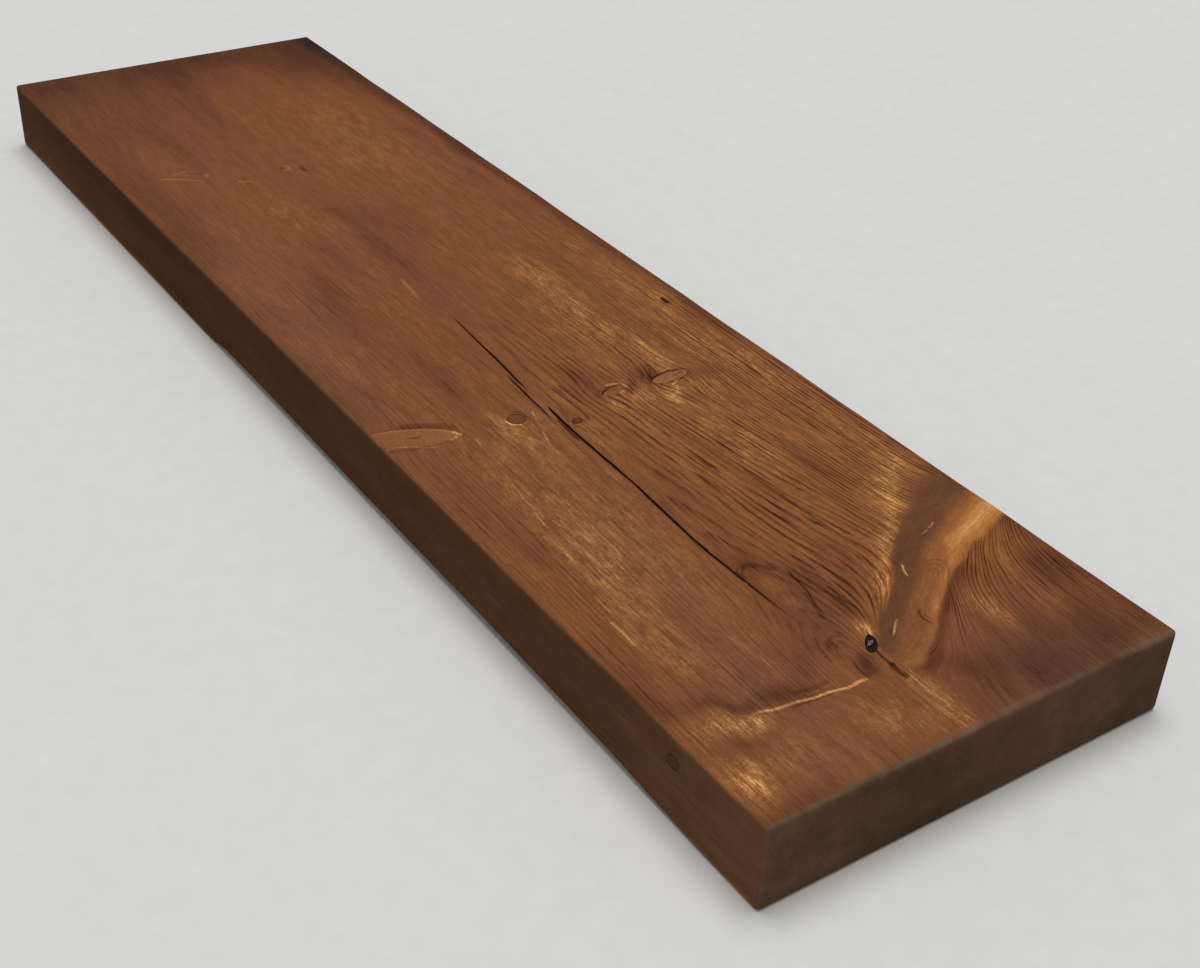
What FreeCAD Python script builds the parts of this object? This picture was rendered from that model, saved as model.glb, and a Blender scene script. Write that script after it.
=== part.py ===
import FreeCAD, Part
import math
import os

import Sketcher

# A wall shelf: one thick softwood plank that slides onto three concealed rod brackets.
# X runs along the plank, to the right as seen from the front. Y runs into the wall, and Z up.
# The origin is on the wall's face, at the middle of the plank's length and on the rods' height,
# so the plank and the steel in front of the wall have Y below 0, and the plugs have Y above 0.

doc = FreeCAD.newDocument("WallShelf")

# Every driving dimension, in millimetres, with what it is.
SIZES = {
    "board_length": (850, "plank, end to end"),
    "board_depth": (225, "plank, wall to front edge"),
    "board_thickness": (44, "plank, top to underside"),
    "axis_below_top": (25, "rod axis below the plank's top"),
    "top_edge_round": (2, "worn rounding round the top"),
    "bottom_edge_round": (1.5, "rounding round the underside"),
    "corner_round": (2, "upright corners in plan"),
    "wane_round": (6.5, "natural round of the lower front edge where it is widest"),
    "check_width": (1.3, "drying check where it is widest"),
    "check_depth": (6, "drying check below the top"),
    "pit_radius": (3.8, "resin pit in plan"),
    "pit_depth": (1.2, "resin pit below the top"),
    "bracket_inset": (125, "middle of an outer bracket in from the plank's end"),
    "rod_diameter": (12, "support rod"),
    "rod_reach": (120, "support rod in front of its plate"),
    "rod_tip_chamfer": (1, "lead-in on the rod's free end"),
    "spigot_diameter": (8, "turned end of the rod in the plate"),
    "spigot_set_back": (0.4, "spigot's end short of the plate's back"),
    "spigot_clearance": (0.05, "between spigot and plate hole, radial"),
    "plate_length": (64, "wall plate along the wall"),
    "plate_height": (24, "wall plate, top to bottom"),
    "plate_thickness": (3, "wall plate"),
    "plate_corner": (3, "wall plate's clipped corners"),
    "screw_pitch": (40, "between the two screws of a plate"),
    "slot_travel": (4.4, "how far a screw can shift in its slot"),
    "slot_clearance": (0.3, "between screw and slot, radial"),
    "bore_clearance": (0.25, "between rod and bore, radial"),
    "bore_end_room": (5, "bore past the rod's tip"),
    "bore_mouth_chamfer": (1, "lead-in of the bore"),
    "recess_gap": (1, "between plate and recess, all round"),
    "recess_corner": (4, "radius that the router leaves in the recess's corners"),
    "head_room": (1, "recess in front of the screw heads"),
    "washer_diameter": (9, "flat washer"),
    "washer_thickness": (0.8, "flat washer"),
    "washer_clearance": (0.15, "between screw and washer, radial"),
    "screw_diameter": (4, "wall screw over its threads"),
    "screw_length": (30, "wall screw under its head"),
    "head_diameter": (8, "screw head"),
    "head_height": (2.6, "screw head"),
    "plug_diameter": (6, "wall plug, and its hole in the wall"),
    "plug_length": (25, "wall plug"),
    "plug_collar": (6, "unslit mouth of the wall plug"),
    "plug_clearance": (0.1, "between screw and the flats of the plug's hole"),
    "plug_leg_width": (5.4, "plug's legs across their flats"),
    "plug_slit": (0.8, "slit between the plug's legs"),
    "barb_depth": (0.45, "notches that leave barbs on the plug's legs"),
    "barb_pitch": (3.6, "from one barb to the next"),
}

# Places on the plank as shares of its length, from the left end, and of its depth, from the wall.
# The third number is the check's width there, as a share of its widest.
CHECK_STRAND_SHARES = (
    ((0.529, 0.573, 0), (0.565, 0.582, 0.45), (0.588, 0.587, 0.8), (0.624, 0.598, 0.6), (0.636, 0.603, 0)),
    ((0.612, 0.605, 0), (0.641, 0.613, 0.5), (0.671, 0.618, 0)),
    ((0.656, 0.599, 0.5), (0.662, 0.601, 1), (0.694, 0.607, 0.85), (0.753, 0.609, 0.7),
     (0.776, 0.616, 0.8), (0.824, 0.622, 0.7), (0.871, 0.616, 0.4), (0.894, 0.611, 0)),
)
PIT_PLACE_SHARES = (0.927, 0.533)
# The wane's sections along the plank: place, and rounding as a share of the widest.
WANE_SECTION_SHARES = (
    (0.396, 0.2), (0.414, 0.88), (0.50, 0.97), (0.62, 0.86), (0.76, 1.0), (0.88, 0.84), (0.955, 0.2),
)
DRILL_POINT_DEGREES = 118
BARB_COUNT = 4
PLUG_SIDE_COUNT = 8
# The brackets and a bracket's screws, with their places from the middle as shares of an outer one's.
BRACKET_PLACE_SHARES = (("left", -1), ("centre", 0), ("right", 1))
SCREW_PLACE_SHARES = (("a", -1), ("b", 1))
# How near an edge has to be to a level, and how steep it has to be to count as upright.
SAME_LEVEL = 1e-6
UPRIGHT_SHARE = 0.99

sheet = doc.addObject("Spreadsheet::Sheet", "Sizes")
for row, (word, (number, meaning)) in enumerate(SIZES.items(), start=1):
    sheet.set(f"A{row}", word)
    sheet.set(f"B{row}", str(number))
    sheet.setAlias(f"B{row}", word)
    sheet.set(f"C{row}", meaning)
doc.recompute()


def named(words):
    """The expression with each size's name pointing into the sheet."""
    out = []
    for word in words.replace("(", " ( ").replace(")", " ) ").split():
        out.append(f"Sizes.{word}" if word in SIZES else word)
    return " ".join(out)


# Lengths that follow from the driving ones, as expressions.
ROD_R = "(rod_diameter / 2)"
BORE_R = "(rod_diameter / 2 + bore_clearance)"
RECESS_DEPTH = "(plate_thickness + washer_thickness + head_height + head_room)"
SLOT_R = "(screw_diameter / 2 + slot_clearance)"
BELOW_AXIS = "(board_thickness - axis_below_top)"
HEAD_SEAT = "(plate_thickness + washer_thickness)"
SCREW_X = "(screw_pitch / 2)"
BRACKET_X = "(board_length / 2 - bracket_inset)"


def origin_part(body, role):
    return next(part for part in body.Origin.OriginFeatures if part.Role == role)


def new_body(name, x=None):
    """A body that stands at x along the wall."""
    body = doc.addObject("PartDesign::Body", name)
    body.Label = name
    if x:
        body.setExpression("Placement.Base.x", named(x))
    return body


def arc(start, end, radius, turn):
    """A short arc from start to end; turn is 1 to the left and -1 to the right."""
    chord = end - start
    rise = math.sqrt(max(radius**2 - (chord.Length / 2) ** 2, 0))
    side = FreeCAD.Vector(-chord.y, chord.x, 0)
    side.normalize()
    centre = (start + end) * 0.5 + side * (rise * turn)
    first, last = (start, end) if turn > 0 else (end, start)
    from_angle = math.atan2(first.y - centre.y, first.x - centre.x)
    to_angle = math.atan2(last.y - centre.y, last.x - centre.x)
    circle = Part.Circle(centre, FreeCAD.Vector(0, 0, 1), radius)
    return Part.ArcOfCircle(circle, from_angle, to_angle)


def add_outline(sketch, corners):
    """Adds a closed outline. A corner is (x, y), or (x, y, radius, turn) where an arc leaves it."""
    points = [
        FreeCAD.Vector(
            float(sketch.evalExpression(named(corner[0]))),
            float(sketch.evalExpression(named(corner[1]))),
            0,
        )
        for corner in corners
    ]
    edges = []
    for i, corner in enumerate(corners):
        start, end = points[i], points[(i + 1) % len(points)]
        if len(corner) == 2:
            edge = sketch.addGeometry(Part.LineSegment(start, end))
            edges.append((edge, 1, 2))
            continue
        radius, turn = corner[2:]
        edge = sketch.addGeometry(arc(start, end, float(sketch.evalExpression(named(radius))), turn))
        edges.append((edge, 1, 2) if turn > 0 else (edge, 2, 1))
        rule = sketch.addConstraint(
            Sketcher.Constraint("Radius", edge, float(sketch.evalExpression(named(radius))))
        )
        sketch.setExpression(f"Constraints[{rule}]", named(radius))
    for i, (edge, first, last) in enumerate(edges):
        following = edges[(i + 1) % len(edges)]
        sketch.addConstraint(Sketcher.Constraint("Coincident", edge, last, following[0], following[1]))
        for kind, place, words in (
            ("DistanceX", points[i].x, corners[i][0]),
            ("DistanceY", points[i].y, corners[i][1]),
        ):
            rule = sketch.addConstraint(Sketcher.Constraint(kind, -1, 1, edge, first, place))
            if words != "0":
                sketch.setExpression(f"Constraints[{rule}]", named(words))


def new_sketch(body, name, role, outlines, shift=None):
    """A sketch on one of the body's own origin planes, moved along that plane's axes by shift."""
    sketch = body.newObject("Sketcher::SketchObject", f"{body.Name}_{name}")
    sketch.AttachmentSupport = [(origin_part(body, role), "")]
    sketch.MapMode = "FlatFace"
    for axis, words in (shift or {}).items():
        sketch.setExpression(f"AttachmentOffset.Base.{axis}", named(words))
    for outline in outlines:
        add_outline(sketch, outline)
    return sketch


def feature(body, kind, name, sketch, **settings):
    """A PartDesign feature on a sketch; a setting given in words is an expression."""
    made = body.newObject(f"PartDesign::{kind}", f"{body.Name}_{name}")
    made.Profile = sketch
    for key, value in settings.items():
        if isinstance(value, str) and key in ("Length", "Radius"):
            made.setExpression(key, named(value))
        else:
            setattr(made, key, value)
    sketch.Visibility = False
    return made


def rectangle(x0, y0, x1, y1):
    return [(x0, y0), (x1, y0), (x1, y1), (x0, y1)]


def rounded_rectangle(length, height, radius):
    """A rectangle about 0, 0 with quarter-round corners."""
    right, left = f"{length} / 2", f"0 - {length} / 2"
    upper, lower = f"{height} / 2", f"0 - {height} / 2"
    return [
        (f"{left} + {radius}", lower),
        (f"{right} - {radius}", lower, radius, 1),
        (right, f"{lower} + {radius}"),
        (right, f"{upper} - {radius}", radius, 1),
        (f"{right} - {radius}", upper),
        (f"{left} + {radius}", upper, radius, 1),
        (left, f"{upper} - {radius}"),
        (left, f"{lower} + {radius}", radius, 1),
    ]


def slot(x):
    """A slot about x, 0 whose half-round ends are two quarters each."""
    left, right = f"{x} - slot_travel / 2", f"{x} + slot_travel / 2"
    return [
        (left, f"0 - {SLOT_R}"),
        (right, f"0 - {SLOT_R}", SLOT_R, 1),
        (f"{right} + {SLOT_R}", "0", SLOT_R, 1),
        (right, SLOT_R),
        (left, SLOT_R, SLOT_R, 1),
        (f"{left} - {SLOT_R}", "0", SLOT_R, 1),
    ]


def quarters(radius):
    """A circle about 0, 0 in four quarters."""
    ends = (("0", f"0 - {radius}"), (radius, "0"), ("0", radius), (f"0 - {radius}", "0"))
    return [(x, y, radius, 1) for x, y in ends]


def turned(body, name, outline):
    """A solid turned about the body's Y axis, from an outline in radius and Y."""
    sketch = new_sketch(body, name, "XY_Plane", [outline])
    solid = feature(body, "Revolution", f"{name}_turned", sketch, Angle=360)
    solid.ReferenceAxis = (sketch, ["V_Axis"])
    return solid


def edge_names(shape, wanted):
    """Names of the shape's edges whose middle point passes the test."""
    names = []
    for number, edge in enumerate(shape.Edges, start=1):
        middle = edge.valueAt((edge.FirstParameter + edge.LastParameter) / 2)
        if wanted(edge, middle):
            names.append(f"Edge{number}")
    return names


def ease(body, name, base, radius, wanted):
    """A fillet on the edges of base that pass the test."""
    doc.recompute()
    fillet = body.newObject("PartDesign::Fillet", f"{body.Name}_{name}")
    fillet.Base = (base, edge_names(base.Shape, wanted))
    fillet.setExpression("Radius", named(radius))
    return fillet


def plank_x(share):
    """A place along the plank, by its share of the length from the left end."""
    return f"board_length * {share} - board_length / 2"


def plank_y(share):
    """A place across the plank, by its share of the depth from the wall."""
    return f"0 - board_depth * {share}"


def strand_outline(strand):
    """The two lips of one strand of the check, joined at its ends."""
    near, far = [], []
    for along, back, width in strand:
        near.append((plank_x(along), f"{plank_y(back)} - check_width * {width / 2}"))
        if width:
            far.append((plank_x(along), f"{plank_y(back)} + check_width * {width / 2}"))
    return near + far[::-1]


def wane_outline(share):
    """What the wane takes off at one section: the corner outside a round, and past both faces."""
    radius = f"(wane_round * {share})"
    front, under = "0 - board_depth", f"0 - {BELOW_AXIS}"
    return [
        (f"{front} - wane_round", f"{under} - wane_round"),
        (f"{front} + {radius}", f"{under} - wane_round"),
        (f"{front} + {radius}", under, radius, -1),
        (front, f"{under} + {radius}"),
        (f"{front} - wane_round", f"{under} + {radius}"),
    ]


def cut_volume(before, after):
    """How much a cutting feature took away; a cut that misses the plank stops the build."""
    doc.recompute()
    taken = before.Shape.Volume - after.Shape.Volume
    if taken <= 0:
        raise RuntimeError(f"{after.Name} cuts nothing")
    return taken


def make_board():
    """The plank, with its worn edges, wane, check and resin pit, and the cuts for the brackets."""
    body = new_body("shelf_board")
    section = new_sketch(
        body,
        "section",
        "XZ_Plane",
        [rectangle("0 - board_length / 2", f"0 - {BELOW_AXIS}", "board_length / 2", "axis_below_top")],
    )
    plank = feature(body, "Pad", "plank", section, Length="board_depth")

    def upright(edge, middle):
        return abs(edge.tangentAt(edge.FirstParameter).z) > UPRIGHT_SHARE

    def on_level(level):
        height = float(sheet.evalExpression(named(level)))

        def lies_there(edge, middle):
            end = edge.valueAt(edge.FirstParameter)
            return all(abs(point.z - height) < SAME_LEVEL for point in (middle, end))

        return lies_there

    corners = ease(body, "corners", plank, "corner_round", upright)
    top = ease(body, "top_edges", corners, "top_edge_round", on_level("axis_below_top"))
    under = ease(body, "under_edges", top, "bottom_edge_round", on_level(f"0 - {BELOW_AXIS}"))

    sections = [
        new_sketch(
            body, f"wane_{number}", "YZ_Plane", [wane_outline(share)], shift={"z": plank_x(along)}
        )
        for number, (along, share) in enumerate(WANE_SECTION_SHARES)
    ]
    wane = feature(body, "SubtractiveLoft", "wane", sections[0], Sections=sections[1:], Ruled=True)
    for sketch in sections:
        sketch.Visibility = False
    cut_volume(under, wane)

    strands = [strand_outline(strand) for strand in CHECK_STRAND_SHARES]
    lips = new_sketch(body, "check_lips", "XY_Plane", strands, shift={"z": "axis_below_top"})
    check = feature(body, "Pocket", "check", lips, Length="check_depth")
    cut_volume(wane, check)

    ball = "((pit_radius * pit_radius + pit_depth * pit_depth) / (2 * pit_depth))"
    pit = body.newObject("PartDesign::SubtractiveSphere", "shelf_board_resin_pit")
    pit.setExpression("Radius", named(ball))
    pit.AttachmentSupport = [(origin_part(body, "XY_Plane"), "")]
    pit.MapMode = "FlatFace"
    pit.setExpression("AttachmentOffset.Base.x", named(plank_x(PIT_PLACE_SHARES[0])))
    pit.setExpression("AttachmentOffset.Base.y", named(plank_y(PIT_PLACE_SHARES[1])))
    pit.setExpression("AttachmentOffset.Base.z", named(f"axis_below_top + {ball} - pit_depth"))
    cut_volume(check, pit)

    first_bracket = {"x": f"0 - {BRACKET_X}"}
    recess_outline = rounded_rectangle(
        "(plate_length + 2 * recess_gap)", "(plate_height + 2 * recess_gap)", "recess_corner"
    )
    recess_sketch = new_sketch(body, "recess_outline", "XZ_Plane", [recess_outline], shift=first_bracket)
    recess = feature(body, "Pocket", "recess", recess_sketch, Length=RECESS_DEPTH, Reversed=True)
    cut_volume(pit, recess)

    bore_end = "(plate_thickness + rod_reach + bore_end_room)"
    cone = math.tan(math.radians(DRILL_POINT_DEGREES / 2))
    bore_outline = [
        ("0", "0"),
        ("0", f"0 - {bore_end} - {BORE_R} / {cone}"),
        (BORE_R, f"0 - {bore_end}"),
        (BORE_R, f"0 - {RECESS_DEPTH} - bore_mouth_chamfer"),
        (f"{BORE_R} + bore_mouth_chamfer", f"0 - {RECESS_DEPTH}"),
        (f"{BORE_R} + bore_mouth_chamfer", "0"),
    ]
    bore_sketch = new_sketch(body, "bore_outline", "XY_Plane", [bore_outline], shift=first_bracket)
    bore = feature(body, "Groove", "bore", bore_sketch, Angle=360)
    bore.ReferenceAxis = (bore_sketch, ["V_Axis"])
    one_cut = cut_volume(recess, bore)

    row = body.newObject("PartDesign::LinearPattern", "shelf_board_bracket_cuts")
    row.Originals = [recess, bore]
    row.Direction = (recess_sketch, ["H_Axis"])
    row.setExpression("Length", named(f"2 * {BRACKET_X}"))
    row.Occurrences = len(BRACKET_PLACE_SHARES)
    body.Tip = row
    if cut_volume(bore, row) < one_cut * (len(BRACKET_PLACE_SHARES) - 1):
        raise RuntimeError("the bores didn't repeat along the plank")
    return body


def make_plate(side, place):
    """A flat steel plate against the wall, with a slot at each end and a hole for the rod."""
    body = new_body(f"bracket_plate_{side}", x=f"{BRACKET_X} * {place}")
    long, tall = "plate_length / 2", "plate_height / 2"
    blank_outline = [
        (f"0 - {long} + plate_corner", f"0 - {tall}"),
        (f"{long} - plate_corner", f"0 - {tall}"),
        (long, f"0 - {tall} + plate_corner"),
        (long, f"{tall} - plate_corner"),
        (f"{long} - plate_corner", tall),
        (f"0 - {long} + plate_corner", tall),
        (f"0 - {long}", f"{tall} - plate_corner"),
        (f"0 - {long}", f"0 - {tall} + plate_corner"),
    ]
    blank = new_sketch(body, "outline", "XZ_Plane", [blank_outline])
    plate = feature(body, "Pad", "plate", blank, Length="plate_thickness")
    slots = new_sketch(body, "slots", "XZ_Plane", [slot(f"0 - {SCREW_X}"), slot(SCREW_X)])
    slotted = feature(body, "Pocket", "slotted", slots, Length="plate_thickness", Reversed=True)
    cut_volume(plate, slotted)
    hole_r = "(spigot_diameter / 2 + spigot_clearance)"
    hole = new_sketch(body, "hole", "XZ_Plane", [quarters(hole_r)])
    drilled = feature(body, "Pocket", "drilled", hole, Length="plate_thickness", Reversed=True)
    cut_volume(slotted, drilled)
    return body


def make_rod(side, place):
    """A steel rod whose turned spigot is welded into the plate from behind."""
    body = new_body(f"support_rod_{side}", x=f"{BRACKET_X} * {place}")
    tip = "(plate_thickness + rod_reach)"
    turned(
        body,
        "rod",
        [
            ("0", "0 - spigot_set_back"),
            ("0", f"0 - {tip}"),
            (f"{ROD_R} - rod_tip_chamfer", f"0 - {tip}"),
            (ROD_R, f"0 - {tip} + rod_tip_chamfer"),
            (ROD_R, "0 - plate_thickness"),
            ("spigot_diameter / 2", "0 - plate_thickness"),
            ("spigot_diameter / 2", "0 - spigot_set_back"),
        ],
    )
    return body


def make_washer(side, place, letter, hand):
    """A flat washer on the plate, under the screw's head."""
    body = new_body(f"washer_{side}_{letter}", x=f"{BRACKET_X} * {place} + {SCREW_X} * {hand}")
    hole_r = "screw_diameter / 2 + washer_clearance"
    turned(
        body,
        "washer",
        rectangle(hole_r, f"0 - {HEAD_SEAT}", "washer_diameter / 2", "0 - plate_thickness"),
    )
    return body


def polygon(flat_to_flat, sides):
    """A regular outline about 0, 0 with one flat at its foot."""
    corner_share = 1 / math.cos(math.pi / sides)
    points = []
    for number in range(sides):
        angle = 2 * math.pi * (number + 0.5) / sides - math.pi / 2
        across, up = (round(corner_share * f(angle), 9) for f in (math.cos, math.sin))
        points.append((f"({flat_to_flat}) / 2 * {across}", f"({flat_to_flat}) / 2 * {up}"))
    return points


def make_screw(side, place, letter, hand):
    """A screw through washer and slot into its plug, plain and blunt where its thread and point lie."""
    body = new_body(f"wall_screw_{side}_{letter}", x=f"{BRACKET_X} * {place} + {SCREW_X} * {hand}")
    shank_r, head_r = "screw_diameter / 2", "head_diameter / 2"
    turned(
        body,
        "screw",
        [
            ("0", f"0 - {HEAD_SEAT} - head_height"),
            (head_r, f"0 - {HEAD_SEAT} - head_height"),
            (head_r, f"0 - {HEAD_SEAT}"),
            (shank_r, f"0 - {HEAD_SEAT}"),
            (shank_r, f"screw_length - {HEAD_SEAT}"),
            ("0", f"screw_length - {HEAD_SEAT}"),
        ],
    )
    return body


def make_plug(side, place, letter, hand):
    """A nylon plug in the wall: a round mouth, then two barbed legs that the screw spreads."""
    body = new_body(f"wall_plug_{side}_{letter}", x=f"{BRACKET_X} * {place} + {SCREW_X} * {hand}")
    mouth = new_sketch(body, "mouth_outline", "XZ_Plane", [quarters("plug_diameter / 2")])
    collar = feature(body, "Pad", "collar", mouth, Length="plug_collar", Reversed=True)
    leg_outline = new_sketch(
        body, "leg_outline", "XZ_Plane", [polygon("plug_leg_width", PLUG_SIDE_COUNT)]
    )
    legs = feature(body, "Pad", "legs", leg_outline, Length="plug_length", Reversed=True)
    hole_outline = polygon("screw_diameter + 2 * plug_clearance", PLUG_SIDE_COUNT)
    hole = new_sketch(body, "hole_outline", "XZ_Plane", [hole_outline])
    drilled = feature(body, "Pocket", "drilled", hole, Length="plug_length")
    cut_volume(legs, drilled)

    notches = []
    for barb in range(1, BARB_COUNT + 1):
        root = f"plug_collar + barb_pitch * {barb}"
        for leg in ("", "0 - "):
            notches.append(
                [
                    (f"{root} - barb_depth", f"{leg}(plug_leg_width / 2 + barb_depth)"),
                    (root, f"{leg}(plug_leg_width / 2 - barb_depth)"),
                    (f"{root} + barb_pitch / 2", f"{leg}(plug_leg_width / 2 + barb_depth)"),
                ]
            )
    notch_sketch = new_sketch(body, "notches", "YZ_Plane", notches)
    barbed = feature(body, "Pocket", "barbed", notch_sketch, Length="plug_diameter", Midplane=True)
    cut_volume(drilled, barbed)

    slit_outline = rectangle("plug_collar", "0 - plug_slit / 2", "plug_length + plug_slit", "plug_slit / 2")
    slit = new_sketch(body, "slit_outline", "YZ_Plane", [slit_outline])
    split = feature(body, "Pocket", "split", slit, Length="2 * plug_diameter", Midplane=True)
    cut_volume(barbed, split)
    return body


def main():
    bodies = [make_board()]
    for side, place in BRACKET_PLACE_SHARES:
        bodies += [make_plate(side, place), make_rod(side, place)]
        for letter, hand in SCREW_PLACE_SHARES:
            bodies += [
                make_washer(side, place, letter, hand),
                make_screw(side, place, letter, hand),
                make_plug(side, place, letter, hand),
            ]
    doc.recompute()
    for thing in doc.Objects:
        if "Invalid" in thing.State or "Error" in thing.State:
            raise RuntimeError(f"{thing.Name} is {thing.State}")
    for body in bodies:
        if body.Shape.isNull() or not body.Shape.isValid() or len(body.Shape.Solids) != 1:
            raise RuntimeError(f"{body.Label} isn't one valid solid")
    os.makedirs("parts", exist_ok=True)
    for body in bodies:
        body.Shape.exportStep(f"parts/{body.Label}.step")
        print(f"{body.Label}: {body.Shape.Volume:.1f} mm3")


main()
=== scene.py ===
import math

import bmesh
import bpy
import numpy as np
from mathutils import Matrix, Vector
from mathutils.geometry import delaunay_2d_cdt


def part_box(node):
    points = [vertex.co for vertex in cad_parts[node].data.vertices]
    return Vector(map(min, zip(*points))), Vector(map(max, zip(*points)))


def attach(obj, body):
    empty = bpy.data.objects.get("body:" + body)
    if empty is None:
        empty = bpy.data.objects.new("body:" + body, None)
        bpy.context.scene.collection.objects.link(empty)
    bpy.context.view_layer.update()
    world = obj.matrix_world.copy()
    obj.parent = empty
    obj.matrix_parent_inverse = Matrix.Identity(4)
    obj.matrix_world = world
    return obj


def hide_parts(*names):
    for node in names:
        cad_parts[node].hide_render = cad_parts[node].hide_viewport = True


# A dark-stained softwood plank that slides onto three rod brackets, on a pale studio floor.
# Places on the plank are in millimetres: u from its left end, v from the wall, d below its top.

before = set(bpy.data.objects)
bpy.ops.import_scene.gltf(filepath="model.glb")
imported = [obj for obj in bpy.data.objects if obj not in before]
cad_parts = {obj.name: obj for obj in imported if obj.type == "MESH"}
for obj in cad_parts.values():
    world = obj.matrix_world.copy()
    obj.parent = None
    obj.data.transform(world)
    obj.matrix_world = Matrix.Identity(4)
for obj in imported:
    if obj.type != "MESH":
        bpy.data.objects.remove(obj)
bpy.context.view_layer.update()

MM = 0.001
SIDES = ("left", "centre", "right")
LETTERS = ("a", "b")

BOARD_LOW, BOARD_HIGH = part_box("shelf_board")
LENGTH, DEPTH, THICKNESS = (BOARD_HIGH - BOARD_LOW) / MM


def smooth(x, low, high):
    """0 before low, 1 past high, an even curve between; it falls where high is the smaller one."""
    t = np.clip((x - low) / (high - low), 0, 1)
    return t * t * (3 - 2 * t)


def hill(x, middle, reach):
    """1 in the middle, and about a third of that at reach to either side."""
    return np.exp(-(((x - middle) / reach) ** 2))


def wobble(seed, scale, *axes):
    """Smooth seeded waves, about -1 to 1, that change over about scale millimetres."""
    rng = np.random.default_rng(seed)
    total = 0
    for share in (1.0, 0.6, 0.36, 0.22):
        for _ in range(3):
            way = rng.normal(size=len(axes))
            way /= np.linalg.norm(way) * scale * share
            total = total + share * np.sin(sum(w * a for w, a in zip(way, axes)) * 2 + rng.uniform(0, 7))
    return total / 3.2


def to_frame(points):
    """Plank places (u, v, d) as points of the shared frame, in metres."""
    u, v, d = np.asarray(points, float).T
    return np.column_stack((BOARD_LOW.x + u * MM, BOARD_HIGH.y - v * MM, BOARD_HIGH.z - d * MM))


def to_plank(points):
    """Points of the shared frame as plank places u, v, d."""
    x, y, z = points.T
    return (x - BOARD_LOW.x) / MM, (BOARD_HIGH.y - y) / MM, (BOARD_HIGH.z - z) / MM


def linked(name, data):
    made = bpy.data.objects.new(name, data)
    bpy.context.scene.collection.objects.link(made)
    return made


def turn_outward(mesh):
    bm = bmesh.new()
    bm.from_mesh(mesh)
    bmesh.ops.recalc_face_normals(bm, faces=bm.faces)
    bm.to_mesh(mesh)
    bm.free()


def mesh_object(name, points, faces, material):
    mesh = bpy.data.meshes.new(name)
    mesh.from_pydata([tuple(p) for p in points], [], faces)
    mesh.materials.append(material)
    return linked(name, mesh)


def bands(sizes, closed=False):
    """Faces between rows of points that run round; a row of one point is a tip."""
    ends = np.cumsum(sizes).tolist()
    rows = [list(range(end - size, end)) for size, end in zip(sizes, ends)]
    faces = []
    for first, second in zip(rows, rows[1:] + rows[:1] * closed):
        count = max(len(first), len(second))
        for s in range(count):
            t = (s + 1) % count
            near = [first[s], first[t]] if len(first) > 1 else first
            far = [second[t], second[s]] if len(second) > 1 else second
            faces.append(near + far)
    return faces


def skin(name, rows, material, closed=False, capped=False):
    """A piece whose surface passes through rows of points."""
    sizes = [len(row) for row in rows]
    faces = bands(sizes, closed)
    if capped:
        total = sum(sizes)
        faces += [list(range(sizes[0]))[::-1], list(range(total - sizes[-1], total))]
    piece = mesh_object(name, [p for row in rows for p in row], faces, material)
    turn_outward(piece.data)
    return piece


def arc(x, y, radius, start, steps):
    """A quarter circle's points, from an angle in degrees on."""
    angles = [math.radians(start + 90 * step / steps) for step in range(steps + 1)]
    return [(x + radius * math.cos(a), y + radius * math.sin(a)) for a in angles]


def circle(radius, count):
    angles = [2 * math.pi * i / count for i in range(count)]
    return [(radius * math.cos(a), radius * math.sin(a)) for a in angles]


def cut(piece, *cutters):
    """Takes the cutters away from the piece; the new faces keep the cutters' materials."""
    for cutter in cutters:
        hole = piece.modifiers.new(cutter.name, "BOOLEAN")
        hole.object, hole.operation, hole.solver = cutter, "DIFFERENCE", "EXACT"
        hole.material_mode = "TRANSFER"
    graph = bpy.context.evaluated_depsgraph_get()
    mesh = bpy.data.meshes.new_from_object(piece.evaluated_get(graph), depsgraph=graph)
    piece.modifiers.clear()
    piece.data = mesh
    for cutter in cutters:
        bpy.data.objects.remove(cutter)


def place(piece, body, slot, node=None, sharp_degrees=35):
    """Smooth shading with its sharp edges kept, and where the piece belongs."""
    piece.data.shade_smooth()
    piece.data.set_sharp_from_angle(angle=math.radians(sharp_degrees))
    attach(piece, body)
    if node:
        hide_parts(node)


def srgb(red, green, blue):
    """A colour written as 0 to 255, as the shaders want it."""
    shares = [c / 255 for c in (red, green, blue)]
    return (*(((c + 0.055) / 1.055) ** 2.4 if c > 0.04 else c / 12.92 for c in shares), 1)


# Nodes of materials and of the world, written as sums of fields

class Field:
    """One output of a node, which can be added, subtracted and multiplied."""

    def __init__(self, graph, socket):
        self.graph, self.socket = graph, socket

    def __add__(self, other):
        return self.graph.math("ADD", self, other)

    def __sub__(self, other):
        return self.graph.math("SUBTRACT", self, other)

    def __rsub__(self, other):
        return self.graph.math("SUBTRACT", other, self)

    def __mul__(self, other):
        return self.graph.math("MULTIPLY", self, other)

    __radd__, __rmul__ = __add__, __mul__


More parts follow.
